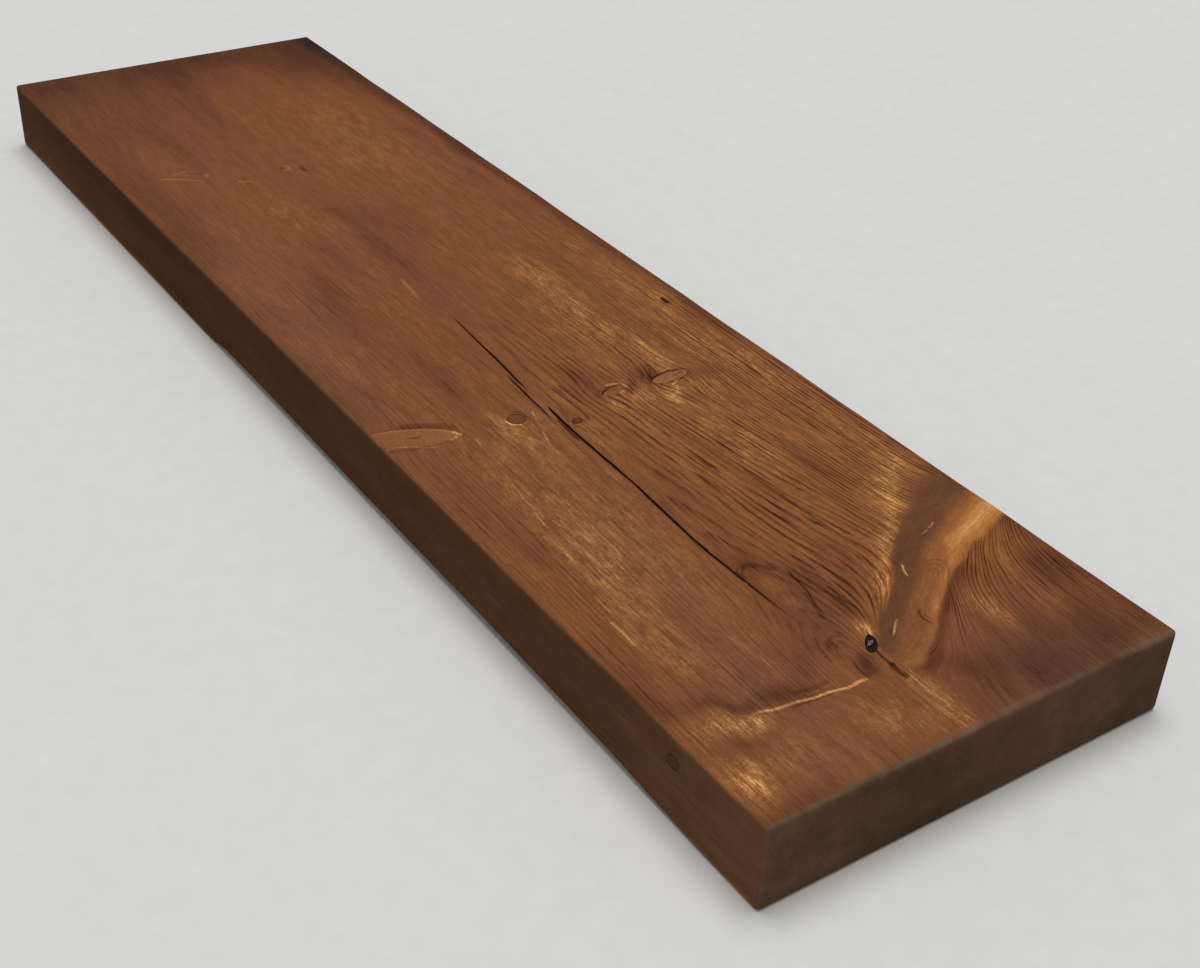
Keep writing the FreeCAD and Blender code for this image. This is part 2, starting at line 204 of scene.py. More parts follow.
class Graph:
    """The nodes of one material or of the world."""

    def __init__(self, owner):
        owner.use_nodes = True
        self.owner, self.tree = owner, owner.node_tree
        self.tree.nodes.clear()

    def node(self, kind, inputs=(), output=0, **settings):
        made = self.tree.nodes.new(kind)
        for key, value in settings.items():
            setattr(made, key, value)
        for key, value in dict(inputs).items():
            self.feed(made.inputs[key], value)
        return Field(self, made.outputs[output])

    def feed(self, socket, value):
        if isinstance(value, Field):
            self.tree.links.new(value.socket, socket)
        else:
            socket.default_value = value

    def end(self, kind, result):
        self.feed(self.tree.nodes.new(kind).inputs[0], result)

    def shade(self, **fields):
        """Feeds the Principled shader's sockets; an underscore stands for a space in their names."""
        for socket, value in fields.items():
            self.feed(self.shader.inputs[socket.replace("_", " ")], value)
        return self.owner

    def math(self, kind, *values):
        return self.node("ShaderNodeMath", enumerate(values), operation=kind)

    def attribute(self, name, output="Fac"):
        return self.node("ShaderNodeAttribute", output=output, attribute_name=name)

    def split(self, vector):
        node = self.node("ShaderNodeSeparateXYZ", {0: vector}).socket.node
        return [Field(self, output) for output in node.outputs]

    def place(self):
        return self.node("ShaderNodeTexCoord", output="Object")

    def scaled(self, vector, scale):
        return self.node("ShaderNodeVectorMath", {0: vector, 1: scale}, operation="MULTIPLY")

    def noise(self, vector, scale, detail=3.0, roughness=0.6):
        """Noise about 0, roughly -1 to 1; scale says how often it changes along each axis."""
        where = self.scaled(vector, scale if isinstance(scale, tuple) else (scale,) * 3)
        inputs = {"Vector": where, "Scale": 1.0, "Detail": detail, "Roughness": roughness}
        return (self.node("ShaderNodeTexNoise", inputs) - 0.5) * 3.2

    def step(self, value, low, high):
        """0 below low and 1 above high, smooth between."""
        inputs = {"Value": value, "From Min": low, "From Max": high}
        return self.node("ShaderNodeMapRange", inputs, interpolation_type="SMOOTHSTEP")

    def mix(self, share, first, second):
        return self.node("ShaderNodeMix", {0: share, 6: first, 7: second}, output=2, data_type="RGBA")

    def blend(self, share, first, second):
        return first + (second - first) * share

    def ramp(self, value, places, *colours):
        """Colours, one at each of the places on the way from 0 to 1."""
        made = self.node("ShaderNodeValToRGB", {0: value})
        stops = made.socket.node.color_ramp.elements
        while len(stops) < len(places):
            stops.new(0.5)
        for stop, place, colour in zip(stops, places, colours):
            stop.position, stop.color = place, colour if len(colour) == 4 else srgb(*colour)
        return made

    def bump(self, height, distance, strength):
        return self.node("ShaderNodeBump", {"Height": height, "Distance": distance, "Strength": strength})


def surface(name, **constants):
    """The graph of a new material with one Principled shader."""
    g = Graph(bpy.data.materials.new(name))
    shader = g.node("ShaderNodeBsdfPrincipled")
    g.shader = shader.socket.node
    g.end("ShaderNodeOutputMaterial", shader)
    g.shade(**constants)
    return g


# How the wood grew: the heart line, the branches that cross it, and the bent grain about them

# Where the heart of the tree runs, across and below the top, and where along it the branches start.
HEART_V, HEART_D = 131, 22
WHORL_U = 788

# The big branch: its two edges, and the dark and golden bands along its left side, at places v.
FLAME_V = (0, 10, 20, 30, 40, 50, 60, 70, 80, 90, 100, 110, 118, 124)
FLAME_LEFT = (727, 732, 735, 740, 743, 747, 755, 763, 769, 777, 785, 794, 801, 805)
FLAME_RIGHT = (747, 751, 755, 757, 762, 766.5, 772, 780, 787, 796, 802.5, 808, 808, 806)
DARK_LEFT = (706, 704, 708, 716, 723, 729, 737, 746, 757, 767, 774, 782, 789, 794)
GOLD_MIDDLE = (689, 687, 690, 699, 711, 724, 731, 740, 749, 759, 766, 773, 780, 788)
# How bright its body is, how bright the crest near its right edge, and how far in the crest lies.
FLAME_BODY = (0.40, 0.36, 0.30, 0.26, 0.26, 0.24, 0.16, 0.14, 0.14, 0.02, 0.06, 0.08, 0.04, 0)
FLAME_CREST = (0.44, 0.42, 0.50, 0.52, 0.36, 0.24, 0.30, 0.26, 0.34, 0.14, 0.12, 0.12, 0.1, 0)
CREST_INSET = (9, 9.5, 9, 7.5, 9, 4, 3.2, 3.4, 3.2, 3, 3.5, 3.5, 3, 3)

# Round and oval knots: centre u, v, half-width, half-length, lean in degrees from the v axis,
# tone inside and tone of the rim.
KNOTS = (
    (563.8, 62.8, 4.5, 12.2, -4.4, 0.22, -0.44), (560.7, 97.2, 4.0, 8.6, -13, 0.06, -0.10),
    (576.8, 129.3, 2.6, 2.6, 0, -0.32, -0.50), (560.0, 154.9, 4.7, 4.3, 12, -0.18, -0.46),
    (492.7, 14.7, 4.4, 1.7, 0, -0.85, -0.20), (228.4, 113.0, 4.0, 1.3, 0, -0.46, -0.05),
)
# The spike knot that runs out over the front edge: its spine, with half-widths.
SPIKE = np.array((
    (558.8, 186.2, 0.4), (556.9, 190.0, 3.6), (554.8, 195.0, 5.8), (552.2, 202.0, 7.7),
    (549.0, 209.5, 8.0), (545.8, 218.0, 7.4), (543.0, 228.0, 6.6),
))
# Pin knots on the front face: centre u, d, half-width and half-height.
FRONT_KNOTS = ((792, 13, 3.9, 3.4), (227, 35, 4.0, 2.2))

# Soft patches of tone: centre u, v, reach along and across, and how much lighter.
PATCHES = (
    (300, 0, 420, 9, -0.28), (760, 0, 120, 7, -0.2), (300, 225, 420, 15, -0.15), (0, 90, 62, 150, -0.34),
    (20, 220, 70, 60, -0.18), (80, 50, 60, 22, -0.24), (130, 14, 60, 12, -0.12), (625, 78, 62, 22, 0.18),
    (680, 188, 110, 36, 0.15), (800, 96, 20, 20, 0.14), (838, 84, 24, 40, 0.16), (728, 206, 14, 3, 0.16),
    (748, 128, 22, 14, -0.1), (520, 8, 40, 7, -0.22), (300, 5, 260, 5, -0.1), (40, 18, 60, 22, -0.36),
    (60, 92, 46, 14, -0.12), (150, 56, 85, 24, 0.14), (190, 70, 60, 14, -0.06), (260, 22, 130, 6, -0.1),
    (225, 6, 60, 6, -0.1), (60, 125, 90, 12, -0.18), (30, 142, 40, 18, -0.12), (110, 192, 110, 28, -0.1),
    (150, 172, 45, 9, -0.13), (215, 207, 90, 8, -0.13), (330, 100, 60, 13, -0.13), (350, 124, 75, 10, -0.2),
    (290, 150, 35, 7, 0.14), (320, 131, 14, 6, 0.14), (345, 152, 30, 9, -0.12), (428, 60, 30, 9, 0.2),
    (475, 62, 50, 12, 0.12), (450, 22, 60, 9, 0.14), (485, 10, 60, 7, 0.1), (400, 182, 42, 13, -0.15),
    (505, 168, 45, 9, -0.2), (120, 150, 110, 22, -0.1), (440, 182, 30, 8, -0.12), (300, 207, 45, 13, -0.1),
    (362, 215, 22, 9, 0.14), (435, 213, 16, 7, 0.1), (250, 218, 80, 7, -0.1), (560, 12, 50, 14, 0.24),
    (540, 57, 14, 6, 0.3), (560, 35, 40, 10, 0.1), (548, 106, 22, 6, -0.36), (554, 73, 10, 7, -0.38),
    (574, 47, 6, 9, -0.24), (577, 70, 8, 9, 0.42), (571, 88, 9, 9, 0.2), (583, 103, 14, 4, 0.26),
    (640, 20, 60, 12, 0.16), (655, 46, 50, 5, 0.1), (620, 86, 50, 7, -0.13), (690, 88, 55, 9, -0.16),
    (620, 122, 30, 6, -0.06), (650, 126, 60, 7, -0.1), (740, 131, 17, 4, 0.22), (712, 131, 9, 7, -0.22),
    (752, 112, 24, 5, -0.26), (774, 116, 6, 3, 0.52), (560, 163, 22, 6, 0.24), (556, 178, 18, 5, -0.1),
    (640, 160, 70, 12, 0.06), (640, 206, 80, 8, -0.14), (700, 186, 60, 9, 0.12), (680, 216, 45, 5, 0.1),
    (735, 130, 34, 16, -0.12), (735, 178, 40, 14, -0.12), (770, 20, 30, 20, -0.06), (666, 52, 34, 8, -0.18),
    # The patch at 789, 178 is partly painted shade beside the ridge below the pit.
    (700, 213, 60, 9, -0.16), (783, 150, 12, 18, -0.12), (789, 178, 6, 26, -0.34), (835, 66, 30, 44, -0.55),
    (818, 96, 14, 12, -0.18), (820, 24, 26, 18, -0.12), (786, 15, 13, 13, -0.34), (802, 30, 16, 8, 0.14),
    (799, 58, 13, 8, 0.38), (828, 121, 28, 7, 0.34), (770, 22, 12, 14, 0.14), (825, 160, 25, 25, 0.06),
    (794, 205, 12, 15, 0.4), (830, 214, 22, 10, 0.43), (796, 131, 7, 4, -0.28), (846, 150, 7, 60, -0.1),
    (801, 200, 5, 9, 0.22), (784, 197, 4, 10, -0.24), (820, 190, 16, 10, 0.12), (826, 150, 8, 5, 0.14),
    (80, 58, 50, 38, 0.08), (49, 138, 25, 14, 0.12), (488, 65, 50, 14, 0.11), (705, 44, 17, 10, 0.12),
    (829, 44, 16, 12, 0.11), (829, 138, 16, 9, 0.14), (601, 123, 18, 8, 0.13), (634, 65, 20, 8, 0.09),
    (700, 210, 45, 9, 0.09), (569, 160, 18, 26, 0.08), (16, 95, 22, 20, -0.18), (10, 7, 18, 9, -0.18),
    (12, 203, 20, 14, -0.14), (374, 167, 22, 9, -0.12), (634, 22, 24, 8, -0.11), (244, 7, 26, 7, -0.12),
    (722, 37, 12, 8, 0.14), (585, 51, 26, 8, 0.13), (666, 7, 14, 6, 0.13), (490, 82, 28, 9, 0.13),
    (374, 94, 18, 8, 0.09), (228, 73, 26, 12, 0.11), (490, 22, 26, 8, 0.09), (70, 96, 26, 12, 0.09),
    (600, 127, 34, 9, 0.09), (569, 138, 14, 7, 0.07), (778, 165, 18, 8, 0.08), (278, 203, 20, 11, 0.08),
    (471, 210, 14, 8, 0.09), (800, 210, 12, 8, -0.1), (762, 132, 16, 12, -0.09), (406, 65, 14, 8, -0.08),
    (799, 66, 10, 6, -0.1), (470, 128, 70, 10, -0.06), (14, 65, 16, 24, -0.08), (826, 125, 14, 5, -0.12),
    (752, 101, 16, 8, -0.2), (75, 5, 95, 6, -0.19), (810, 188, 60, 40, -0.07), (838, 18, 16, 20, -0.12),
    (506, 210, 14, 8, -0.11), (309, 123, 16, 6, -0.1), (733, 34, 8, 8, 0.1), (778, 115, 6, 4, 0.26),
    (833, 119, 12, 4, 0.16), (700, 38, 16, 12, 0.1), (571, 65, 14, 9, 0.12), (782, 204, 9, 20, -0.24),
    (807, 204, 6, 12, -0.3), (793, 192, 5, 7, 0.44), (770, 220, 24, 5, -0.2), (750, 199, 16, 9, 0.13),
    (847, 212, 7, 16, -0.34), (822, 205, 6, 4, 0.16), (838, 220, 7, 4, 0.2),
)
# The same for a purple-brown cast.
DUSK_PATCHES = (
    (832, 70, 34, 46, 0.9), (500, 168, 60, 10, 0.4), (345, 150, 50, 10, 0.35), (796, 131, 7, 5, 0.9),
    (660, 200, 90, 14, 0.35), (560, 90, 20, 12, 0.3), (400, 120, 90, 14, 0.3),
)
# The same for a colder cast, above 0, or a warmer one, below 0.
CAST_PATCHES = (
    (0, 100, 26, 130, -0.13), (60, 60, 120, 110, -0.13), (850, 50, 42, 56, 0.17), (845, 180, 50, 40, 0.1),
    (700, 167, 110, 22, 0.12), (430, 208, 150, 22, 0.11), (785, 196, 44, 26, 0.07),
    (757, 125, 25, 12, 0.08), (566, 142, 34, 11, 0.07), (764, 32, 14, 32, -0.09), (340, 184, 60, 10, 0.03),
    (564, 62, 5, 11, 0.12),
)
# Thin marks: width in millimetres, tone, and the route as u, v, u, v and so on. Marks that lie
# close are in different layers.
MARKS_A = (
    # The first two marks here and in the next layer darken a band along the check: partly stain soaked in
    # beside it, partly painted shade of the gap.
    (1.8, -0.95, 520, 136.2, 545, 138.1, 571, 139.2),
    (2, -0.95, 568, 136.8, 580, 138, 588, 138.5, 595, 138.2), (1, -0.55, 563, 54, 563.4, 57.5, 564.4, 61),
    (1.9, -0.45, 545, 66.5, 552, 67.5, 558, 71, 562, 76), (1.3, -0.5, 548, 79.5, 555, 80.6, 563, 82.4),
    (2.4, -0.62, 558.5, 86, 562, 86.6, 568, 88.4),
    (2, -0.66, 560.6, 53, 558.9, 59, 559, 65, 560.4, 70, 563, 74.5),
    (1.8, 0.55, 568.6, 60.5, 570.2, 64, 571.8, 67.4), (1.1, 0.45, 565, 75.2, 570, 75.6, 574.6, 77.2),
    (1.9, -0.85, 558, 91.2, 557.5, 97, 559.4, 101.6, 563, 105.8),
    (2.2, 0.45, 568.5, 103.2, 572.5, 103.6, 577, 102), (1, 0.42, 578.6, 126.8, 580.2, 129.4, 579.4, 132.4),
    (1.3, 0.78, 556, 160.2, 559.5, 160.5, 563.2, 159.3, 565.4, 156.6, 566, 152.6),
    (0.8, -0.45, 551.5, 171.4, 556, 171.7, 560.5, 171.2), (1, 0.42, 564, 181.3, 568, 181.9, 573, 182.3),
    (2.8, 0.6, 554.2, 188.8, 558, 186.6, 558.6, 184.2), (1.9, 0.55, 559.4, 187.4, 560.6, 190.4, 561, 194.6),
    (1.3, -0.55, 551.2, 203.6, 550.6, 207, 549, 211),
    (1.2, 0.46, 564, 200.6, 561, 206, 556.9, 212.6, 554, 219, 552.2, 227),
    (1.5, -1, 789.5, 121, 796, 122, 804.5, 122.3),
    (4.6, -0.34, 717.5, 136.5, 716.8, 131, 720.5, 126, 728, 121.6),
    (1.3, -0.55, 726, 117.2, 735, 118.8, 746, 119.9, 753, 122.6, 766, 125.4),
    (2.2, -0.24, 778.5, 126.6, 775.6, 131, 777.4, 136, 784, 140),
    (6.4, -0.3, 789, 127.4, 796.5, 130.8, 806, 136.2),
    (1.2, -0.6, 780.6, 85.4, 782.6, 88.5, 786.4, 89.5, 791.8, 88.3),
    (0.9, -0.26, 756.3, 60.5, 756.8, 55.6, 759.6, 52.7, 763.4, 53.2, 768.5, 57, 773, 62.5),
    (0.8, -0.22, 761.4, 62.5, 762.2, 59.8, 764.2, 59.4, 768.5, 64),
    (1.1, 0.62, 575, 149.4, 580, 150.6, 587, 152.2), (0.8, 0.28, 577, 183.2, 600, 186, 640, 191, 690, 198),
    (3.2, 0.4, 394, 131.4, 402, 132.6, 414, 133.6, 424, 134.2), (0.9, 0.22, 450, 168, 475, 170.5, 498, 174),
    (1.3, 0.95, 780.6, 98.4, 783, 102.2, 785.4, 104.6, 789, 109),
    (1, 0.75, 734.4, 34.4, 736.4, 37.6, 737.2, 41.4),
    (1.3, 1.15, 751.8, 70.2, 755, 72.2, 758, 73.6, 761, 74.3),
    # The light streak below the pit runs along a raised ridge: lighter wood of its own with a painted
    # highlight on it. The dark marks and patches beside it, towards the left end, are partly darker grain
    # and partly painted shade.
    (1.9, 0.85, 805, 132, 804.2, 140, 804.6, 147, 802.8, 155, 802.4, 163, 800.4, 171, 799.8, 180, 797.4,
     188, 797, 195),
    (3.4, 0.36, 215.5, 176.5, 209, 185, 203.6, 193, 200.6, 201.5),
    (4.2, 0.5, 209.6, 168.6, 209.4, 170.6, 208.6, 172.6),
    (2.2, -0.22, 204.4, 168.8, 203.4, 174, 200.2, 181),
    (1.5, 0.34, 217.6, 122.4, 219.4, 119.6, 223.2, 119.4, 225.4, 122.6, 226.2, 126),
    (1.7, 0.42, 226.4, 156.6, 228.8, 155.4, 230.4, 151.2, 233.4, 149.4),
    (1.5, 0.52, 718, 206, 728, 205.8, 740, 206.4), (1, -0.45, 545, 20.5, 600, 20.8, 642, 18),
    (1, -0.38, 600, 62.5, 650, 57, 702, 49.5), (2.2, -0.42, 650, 84.5, 700, 81.5, 745, 77.6),
    (1.1, -0.45, 620, 98.6, 680, 96.8, 735, 92.2), (0.9, -0.32, 500, 15.6, 560, 16, 640, 13.5),
    (1.4, -0.68, 541, 118.5, 566, 118), (1.6, 0.22, 810, 118.8, 820, 120.4, 833, 119.6),
    (1.3, -0.42, 727, 112, 738, 109.4, 750, 107.4),
)
MARKS_B = (
    # The first two marks darken the check's edges: partly stain soaked in, partly painted shade of the gap.
    (1.7, -0.75, 449, 128.8, 480, 131, 500, 132.1, 528, 134.4, 541, 135.8),
    (2, -0.8, 557, 134.7, 563, 135.4, 590, 136.8, 640, 137.2, 661, 138.7, 701, 140.1, 741, 138.7, 763,
     137.5),
    (1.4, -0.42, 546, 73.4, 553, 73.8, 560, 77), (1.4, -0.52, 553, 82.8, 559, 83.6, 565.5, 84.8),
    (1, -0.42, 560, 90.4, 565, 90.6, 571, 90.2), (1.3, -0.6, 568, 56.5, 569.4, 62, 569, 69),
    (1, 0.42, 556.8, 57.5, 556.9, 61, 557.2, 64.6),
    (1.7, 0.78, 555, 99.6, 554.9, 94, 556.6, 89.6, 560.4, 88.4, 564, 92.4, 565.2, 98.2),
    (0.9, -0.42, 553.6, 153.4, 554.8, 150.4, 557.6, 149.3, 562.6, 149.8),
    (1, 0.34, 574.4, 132.4, 577, 133.4, 579, 132.8), (0.7, -0.36, 566, 170.4, 569, 170.2, 573, 170),
    (0.7, -0.3, 556, 168, 558, 168.3, 560.6, 168.1),
    (7, -0.4, 554.4, 183.4, 547.4, 190.6, 541.6, 200, 536.8, 212),
    (3.4, -0.26, 559.4, 206.8, 560.2, 212, 557, 219, 555.2, 226),
    (4, -1, 801.2, 120.6, 804.2, 122.4, 808.6, 122.4, 813.6, 121.7),
    (1.2, -0.34, 716.8, 132, 720.6, 136.6, 728, 139.6), (1, -0.38, 745, 121.8, 755, 124.2, 768, 127.4),
    (0.9, -0.24, 782.4, 128, 780.2, 131.6, 782.6, 135.4, 790, 138.4),
    (0.9, -0.3, 771.6, 137.6, 779, 141.2, 792, 143.2), (0.9, -0.55, 792.4, 134.6, 798, 135.9, 805.8, 136.1),
    (0.8, -0.24, 758.6, 61.6, 759.4, 57.6, 761.6, 55.8, 765, 57, 771.5, 64),
    (0.8, -0.24, 783.4, 86.2, 786.6, 87.2, 790.4, 86.2), (1, 0.45, 556.5, 143.4, 561, 145.2, 567, 146.8),
    (0.8, 0.25, 566, 147, 573, 147.8, 580, 148.4), (0.9, 0.3, 584, 152.2, 592, 153.2, 600, 153.8),
    (1, 0.7, 738, 41.6, 739.6, 46.8), (1.1, -0.42, 803.9, 153, 803.4, 164, 801.8, 176),
    # The first mark here lies beside the ridge below the pit: partly darker grain, partly painted shade.
    (3.4, -0.28, 797.4, 150, 797.6, 160, 795.2, 171), (2.4, 0.26, 196.6, 178.5, 197.6, 181.5, 199.6, 190),
    (1.6, -0.14, 213, 178, 209.6, 186, 208.4, 197), (1.8, -0.34, 222.4, 149.4, 225.2, 152.6, 228.4, 153.6),
    (1.8, -0.32, 231.4, 154.2, 233.6, 152.4, 235.8, 152.2),
    (1.8, -0.34, 219.6, 125.8, 222, 124, 223.6, 126.4), (0.9, -0.34, 553, 25, 620, 24.6, 668, 21.5),
    (1, -0.36, 640, 104.5, 700, 103, 744, 98.6), (1, -0.32, 640, 67, 690, 61.5, 722, 56),
    (1.6, -0.62, 541, 123.4, 560, 122.4, 574, 122.6, 584, 124.8),
    (1.2, -0.4, 748, 113.6, 760, 110.8, 768, 108.6), (1.2, 0.28, 814, 124.4, 828, 125.2, 842, 124),
    (1, 0.32, 700, 201.6, 708, 202.2, 716, 201.8),
)

# Where the yearly lines are stronger or weaker: patches, rows right of the small knots (place v,
# reach and amount), and steps (amount, then from where to where along u and along v).
LINE_PATCHES = ((752, 136, 40, 16, 0.16), (752, 130, 16, 6, -0.30), (812, 131, 14, 9, -0.22))
LINE_ROWS = ((17, 9, 0.24), (36, 8, -0.26), (53, 6, 0.16), (69, 7, -0.16), (88, 8, 0.10))
LINE_STEPS = ((-0.30, 764, 800, 124, 112), (-0.42, 786, 820, 120, 108), (-0.15, 797, 806, 110, 120))


def across(edge, v):
    return np.interp(v, FLAME_V, edge)


def sum_of(patches, u, v):
    total = np.zeros(u.shape)
    for cu, cv, ru, rv, amount in patches:
        total += amount * np.exp(-(((u - cu) / ru) ** 2) - ((v - cv) / rv) ** 2)
    return total


def route_offset(route, u, v):
    """Signed distance from a route, and the share of the way along it of the nearest point."""
    best = np.full(u.shape, 1e9)
    signed, share = np.zeros(u.shape), np.zeros(u.shape)
    lengths = np.linalg.norm(np.diff(route, axis=0), axis=1)
    starts = np.append(0, np.cumsum(lengths))
    for (pu, pv), (qu, qv), length, start in zip(route, route[1:], lengths, starts):
        au, av = (qu - pu) / length, (qv - pv) / length
        along = np.clip((u - pu) * au + (v - pv) * av, 0, length)
        du, dv = u - pu - along * au, v - pv - along * av
        distance = np.hypot(du, dv)
        nearer = distance < best
        best = np.where(nearer, distance, best)
        signed = np.where(nearer, np.where(du * av - dv * au < 0, -distance, distance), signed)
        share = np.where(nearer, (start + along) / starts[-1], share)
    return signed, share


def flow(u, v):
    """Where the grain line through u, v would lie on a plank with no knots."""
    w = v + 0.9 * wobble(11, 130, u, v * 3) + 0.35 * wobble(12, 40, u, v * 4)
    rise = hill(v, 62, 34) * np.clip(u - 560, 0, 175)
    w += 0.115 * rise * smooth(u - across(DARK_LEFT, v), 16, 2)
    for ku, kv, half_width, half_length, *_ in KNOTS:
        du, dv = (u - ku) / (half_width * 2.6 + 4), (v - kv) / (half_length * 1.1 + 3)
        w -= half_length * 0.62 * dv * np.exp(0.5 - 0.9 * (du * du + dv * dv))
    signed = route_offset(SPIKE[:, :2], u, v)[0]
    w += 2.5 * hill(signed, 0, 16) * smooth(v, 176, 200) * np.sign(signed)
    left = np.clip(across(DARK_LEFT, v) - u, 0, 90)
    w -= 14 * np.exp(-left / 6) * smooth(v, 66, 108) * smooth(v, 126, 118)
    w += 6 * np.exp(-left / 12) * smooth(v, 56, 26)
    right = u - across(FLAME_RIGHT, v)
    w += 27 * np.exp(-np.clip(right, 0, 200) / 15) * smooth(v, 120, 92) * smooth(right, -9, -3)
    fall = smooth(u, 728, 797) * smooth(u, 812, 802)
    return w - 8 * fall * smooth(v, 127, 145) * smooth(v, 178, 147)


def ring(u, v, d):
    """Distance from the heart of the tree, which the yearly rings follow."""
    before = HEART_D * (1 - np.exp(-np.clip((WHORL_U - u) / 75, 0, None)))
    heart = np.where(u < WHORL_U, before, HEART_D * 0.5 * smooth(u, WHORL_U, LENGTH))
    return np.sqrt((flow(u, v) - HEART_V) ** 2 + (d - heart) ** 2 + 2)


def tone(u, v):
    """How light the stain came out, before the fine grain."""
    bent_u = u + 9 * wobble(21, 45, u, v * 2)
    return sum_of(PATCHES, bent_u, v + 2.2 * wobble(22, 30, u, v * 2))


def line_strength(u, v):
    """How strongly the yearly rings show."""
    strength = 0.10 + 0.10 * smooth(u, 230, 420) + sum_of(LINE_PATCHES, u, v)
    strength += 0.66 * smooth(u, 440, 570) * (1 - 0.93 * smooth(v, 104, 138))
    strength += 0.24 * hill(v, 20, 14) * smooth(u, 110, 240)
    strength += 0.12 * smooth(u, 560, 640) * smooth(v, 190, 215) * smooth(u, 790, 740)
    rows = sum(amount * hill(v + (u - 640) * 0.1, row, reach) for row, reach, amount in LINE_ROWS)
    strength += rows * smooth(u, 530, 590) * smooth(u, 730, 690)
    for amount, from_u, to_u, from_v, to_v in LINE_STEPS:
        strength += amount * smooth(u, from_u, to_u) * smooth(v, from_v, to_v)
    inside = smooth(u - across(DARK_LEFT, v), -6, 4) * smooth(u - across(FLAME_RIGHT, v), 2, -3)
    return np.clip(strength * (1 - inside * smooth(v, 122, 112)), 0.05, 1)


def flame_fields(u, v):
    """Shares of the big branch, its dark and golden bands and its lee, and its brightness."""
    u = u + 1.3 * wobble(24, 16, u, v)
    left, right = u - across(FLAME_LEFT, v), across(FLAME_RIGHT, v) - u
    early, low_end = smooth(v, 46, 22), smooth(v, 121, 115)
    inside = smooth(left, -6 - 8 * early, 6 - 2 * early) * smooth(right, -1.2, 1.4) * low_end
    soft = 9 - 6 * smooth(v, 18, 50)
    band = smooth((u - across(DARK_LEFT, v)) / soft, -0.7, 1) * smooth(left, 4, -7 - 11 * early) * low_end
    gold = hill(u, across(GOLD_MIDDLE, v), 8) * (1 - 0.8 * smooth(v, 90, 104))
    lee = hill(np.clip(-right, 0, 50), 2, 4 + 3 * hill(v, 50, 16)) * (right < 1)
    lee = lee * smooth(v, 37, 52) * smooth(v, 120, 108)
    inset = across(CREST_INSET, v)
    glow = across(FLAME_BODY, v) + across(FLAME_CREST, v) * hill(right, inset, inset * 0.55 + 1.2)
    return inside, band, gold, lee, glow


def mark_layer(marks, u, v):
    """For each place: offset from the nearest thin mark, that mark's width, and its tone."""
    best = np.full(u.shape, 1e9)
    out = np.zeros((3, len(u)))
    for width, amount, *route in marks:
        route = np.reshape(route, (-1, 2))
        (low_u, low_v), (high_u, high_v) = route.min(0) - 12, route.max(0) + 12
        near = np.flatnonzero((u > low_u) & (u < high_u) & (v > low_v) & (v < high_v))
        signed, share = route_offset(route, u[near], v[near])
        away = np.abs(signed)
        taper = smooth(share, 0, 0.12) * smooth(share, 1, 0.82)
        reach = smooth(away, width * 0.5 + 3.6, width * 0.5 + 1.6)
        nearer = away < best[near]
        best[near[nearer]] = away[nearer]
        found = np.array((signed, width * (0.3 + 0.7 * taper), amount * taper * reach))
        out[:, near[nearer]] = found[:, nearer]
    return out


def knot_fields(u, v):
    """Signed distance from the nearest knot's rim, ring number inside, tone inside and of the rim."""
    fields = [np.full(u.shape, 12.0)] + [np.zeros(u.shape)] * 3

    def with_knot(*own):
        return [np.where(own[0] < fields[0], new, old) for new, old in zip(own, fields)]

    for ku, kv, half_width, half_length, lean, fill, rim in KNOTS:
        cos, sin = math.cos(math.radians(lean)), math.sin(math.radians(lean))
        du, dv = u - ku, v - kv
        radial = np.hypot((du * cos + dv * sin) / half_width, (dv * cos - du * sin) / half_length)
        outward = (radial - 1) * (half_width * half_length) ** 0.5
        fields = with_knot(outward, radial * half_width, fill, rim)
    signed, share = route_offset(SPIKE[:, :2], u, v)
    steps = np.cumsum(np.hypot(*np.diff(SPIKE[:, :2], axis=0).T))
    half_width = np.interp(share, np.append(0, steps) / steps[-1], SPIKE[:, 2])
    fill = 0.25 - 0.16 * share - 0.10 * smooth(signed, 2, 6) * share
    return with_knot(np.abs(signed) - half_width, signed * 1.4, fill, np.where(signed > 0, 0.14, 0.38))


def front_knot_distance(u, d):
    """Signed distance from the rim of the nearest pin knot of the front face."""
    distance = np.full(u.shape, 12.0)
    for ku, kd, half_width, half_height in FRONT_KNOTS:
        radial = np.hypot((u - ku) / half_width, (d - kd) / half_height)
        distance = np.minimum(distance, (radial - 1) * (half_width * half_height) ** 0.5)
    return distance


# The plank

# Radii of the upper edges, the lower back edge and the upright corners, and of the wane at its widest.
TOP_ROUND, UNDER_ROUND, CORNER_ROUND, WANE_ROUND = 2.0, 1.5, 2.0, 6.5
# Waves in the roundness of the top's front edge, its back edge and the wane: seed, scale, height.
EDGE_WAVES = ((41, 38, 0.55), (42, 45, 0.4), (43, 22, 0.25))
# How wide the wane is at places along the plank, both as shares.
WANE_PLACES = (0.396, 0.414, 0.50, 0.62, 0.76, 0.88, 0.955)
WANE_SHARES = (0.2, 0.88, 0.97, 0.86, 1.0, 0.84, 0.2)
# The top's highest level below the CAD plank's, how far the ends are sunk, and how rough they are.
PLANED_OFF = 0.10
END_SUNK, END_ROUGH = 0.05, 0.06
# Rows of the skin's faces along the top, the front, the underside and the back, and round an edge.
SIDE_ROWS = (162, 20, 26, 14)
ARC_ROWS = 6
# Cross-sections: how far the first ones are from an end, the stretches with finer steps (from, to
# and step), and the widest step.
END_STEPS = (0, 0.1, 0.3, 0.6, 1.0, 1.5, 2.0, 3.2, 5.0)
FINE_COLUMNS = ((192, 238, 2.0), (536, 590, 1.4), (700, 818, 1.35))
COARSE_STEP = 4.6
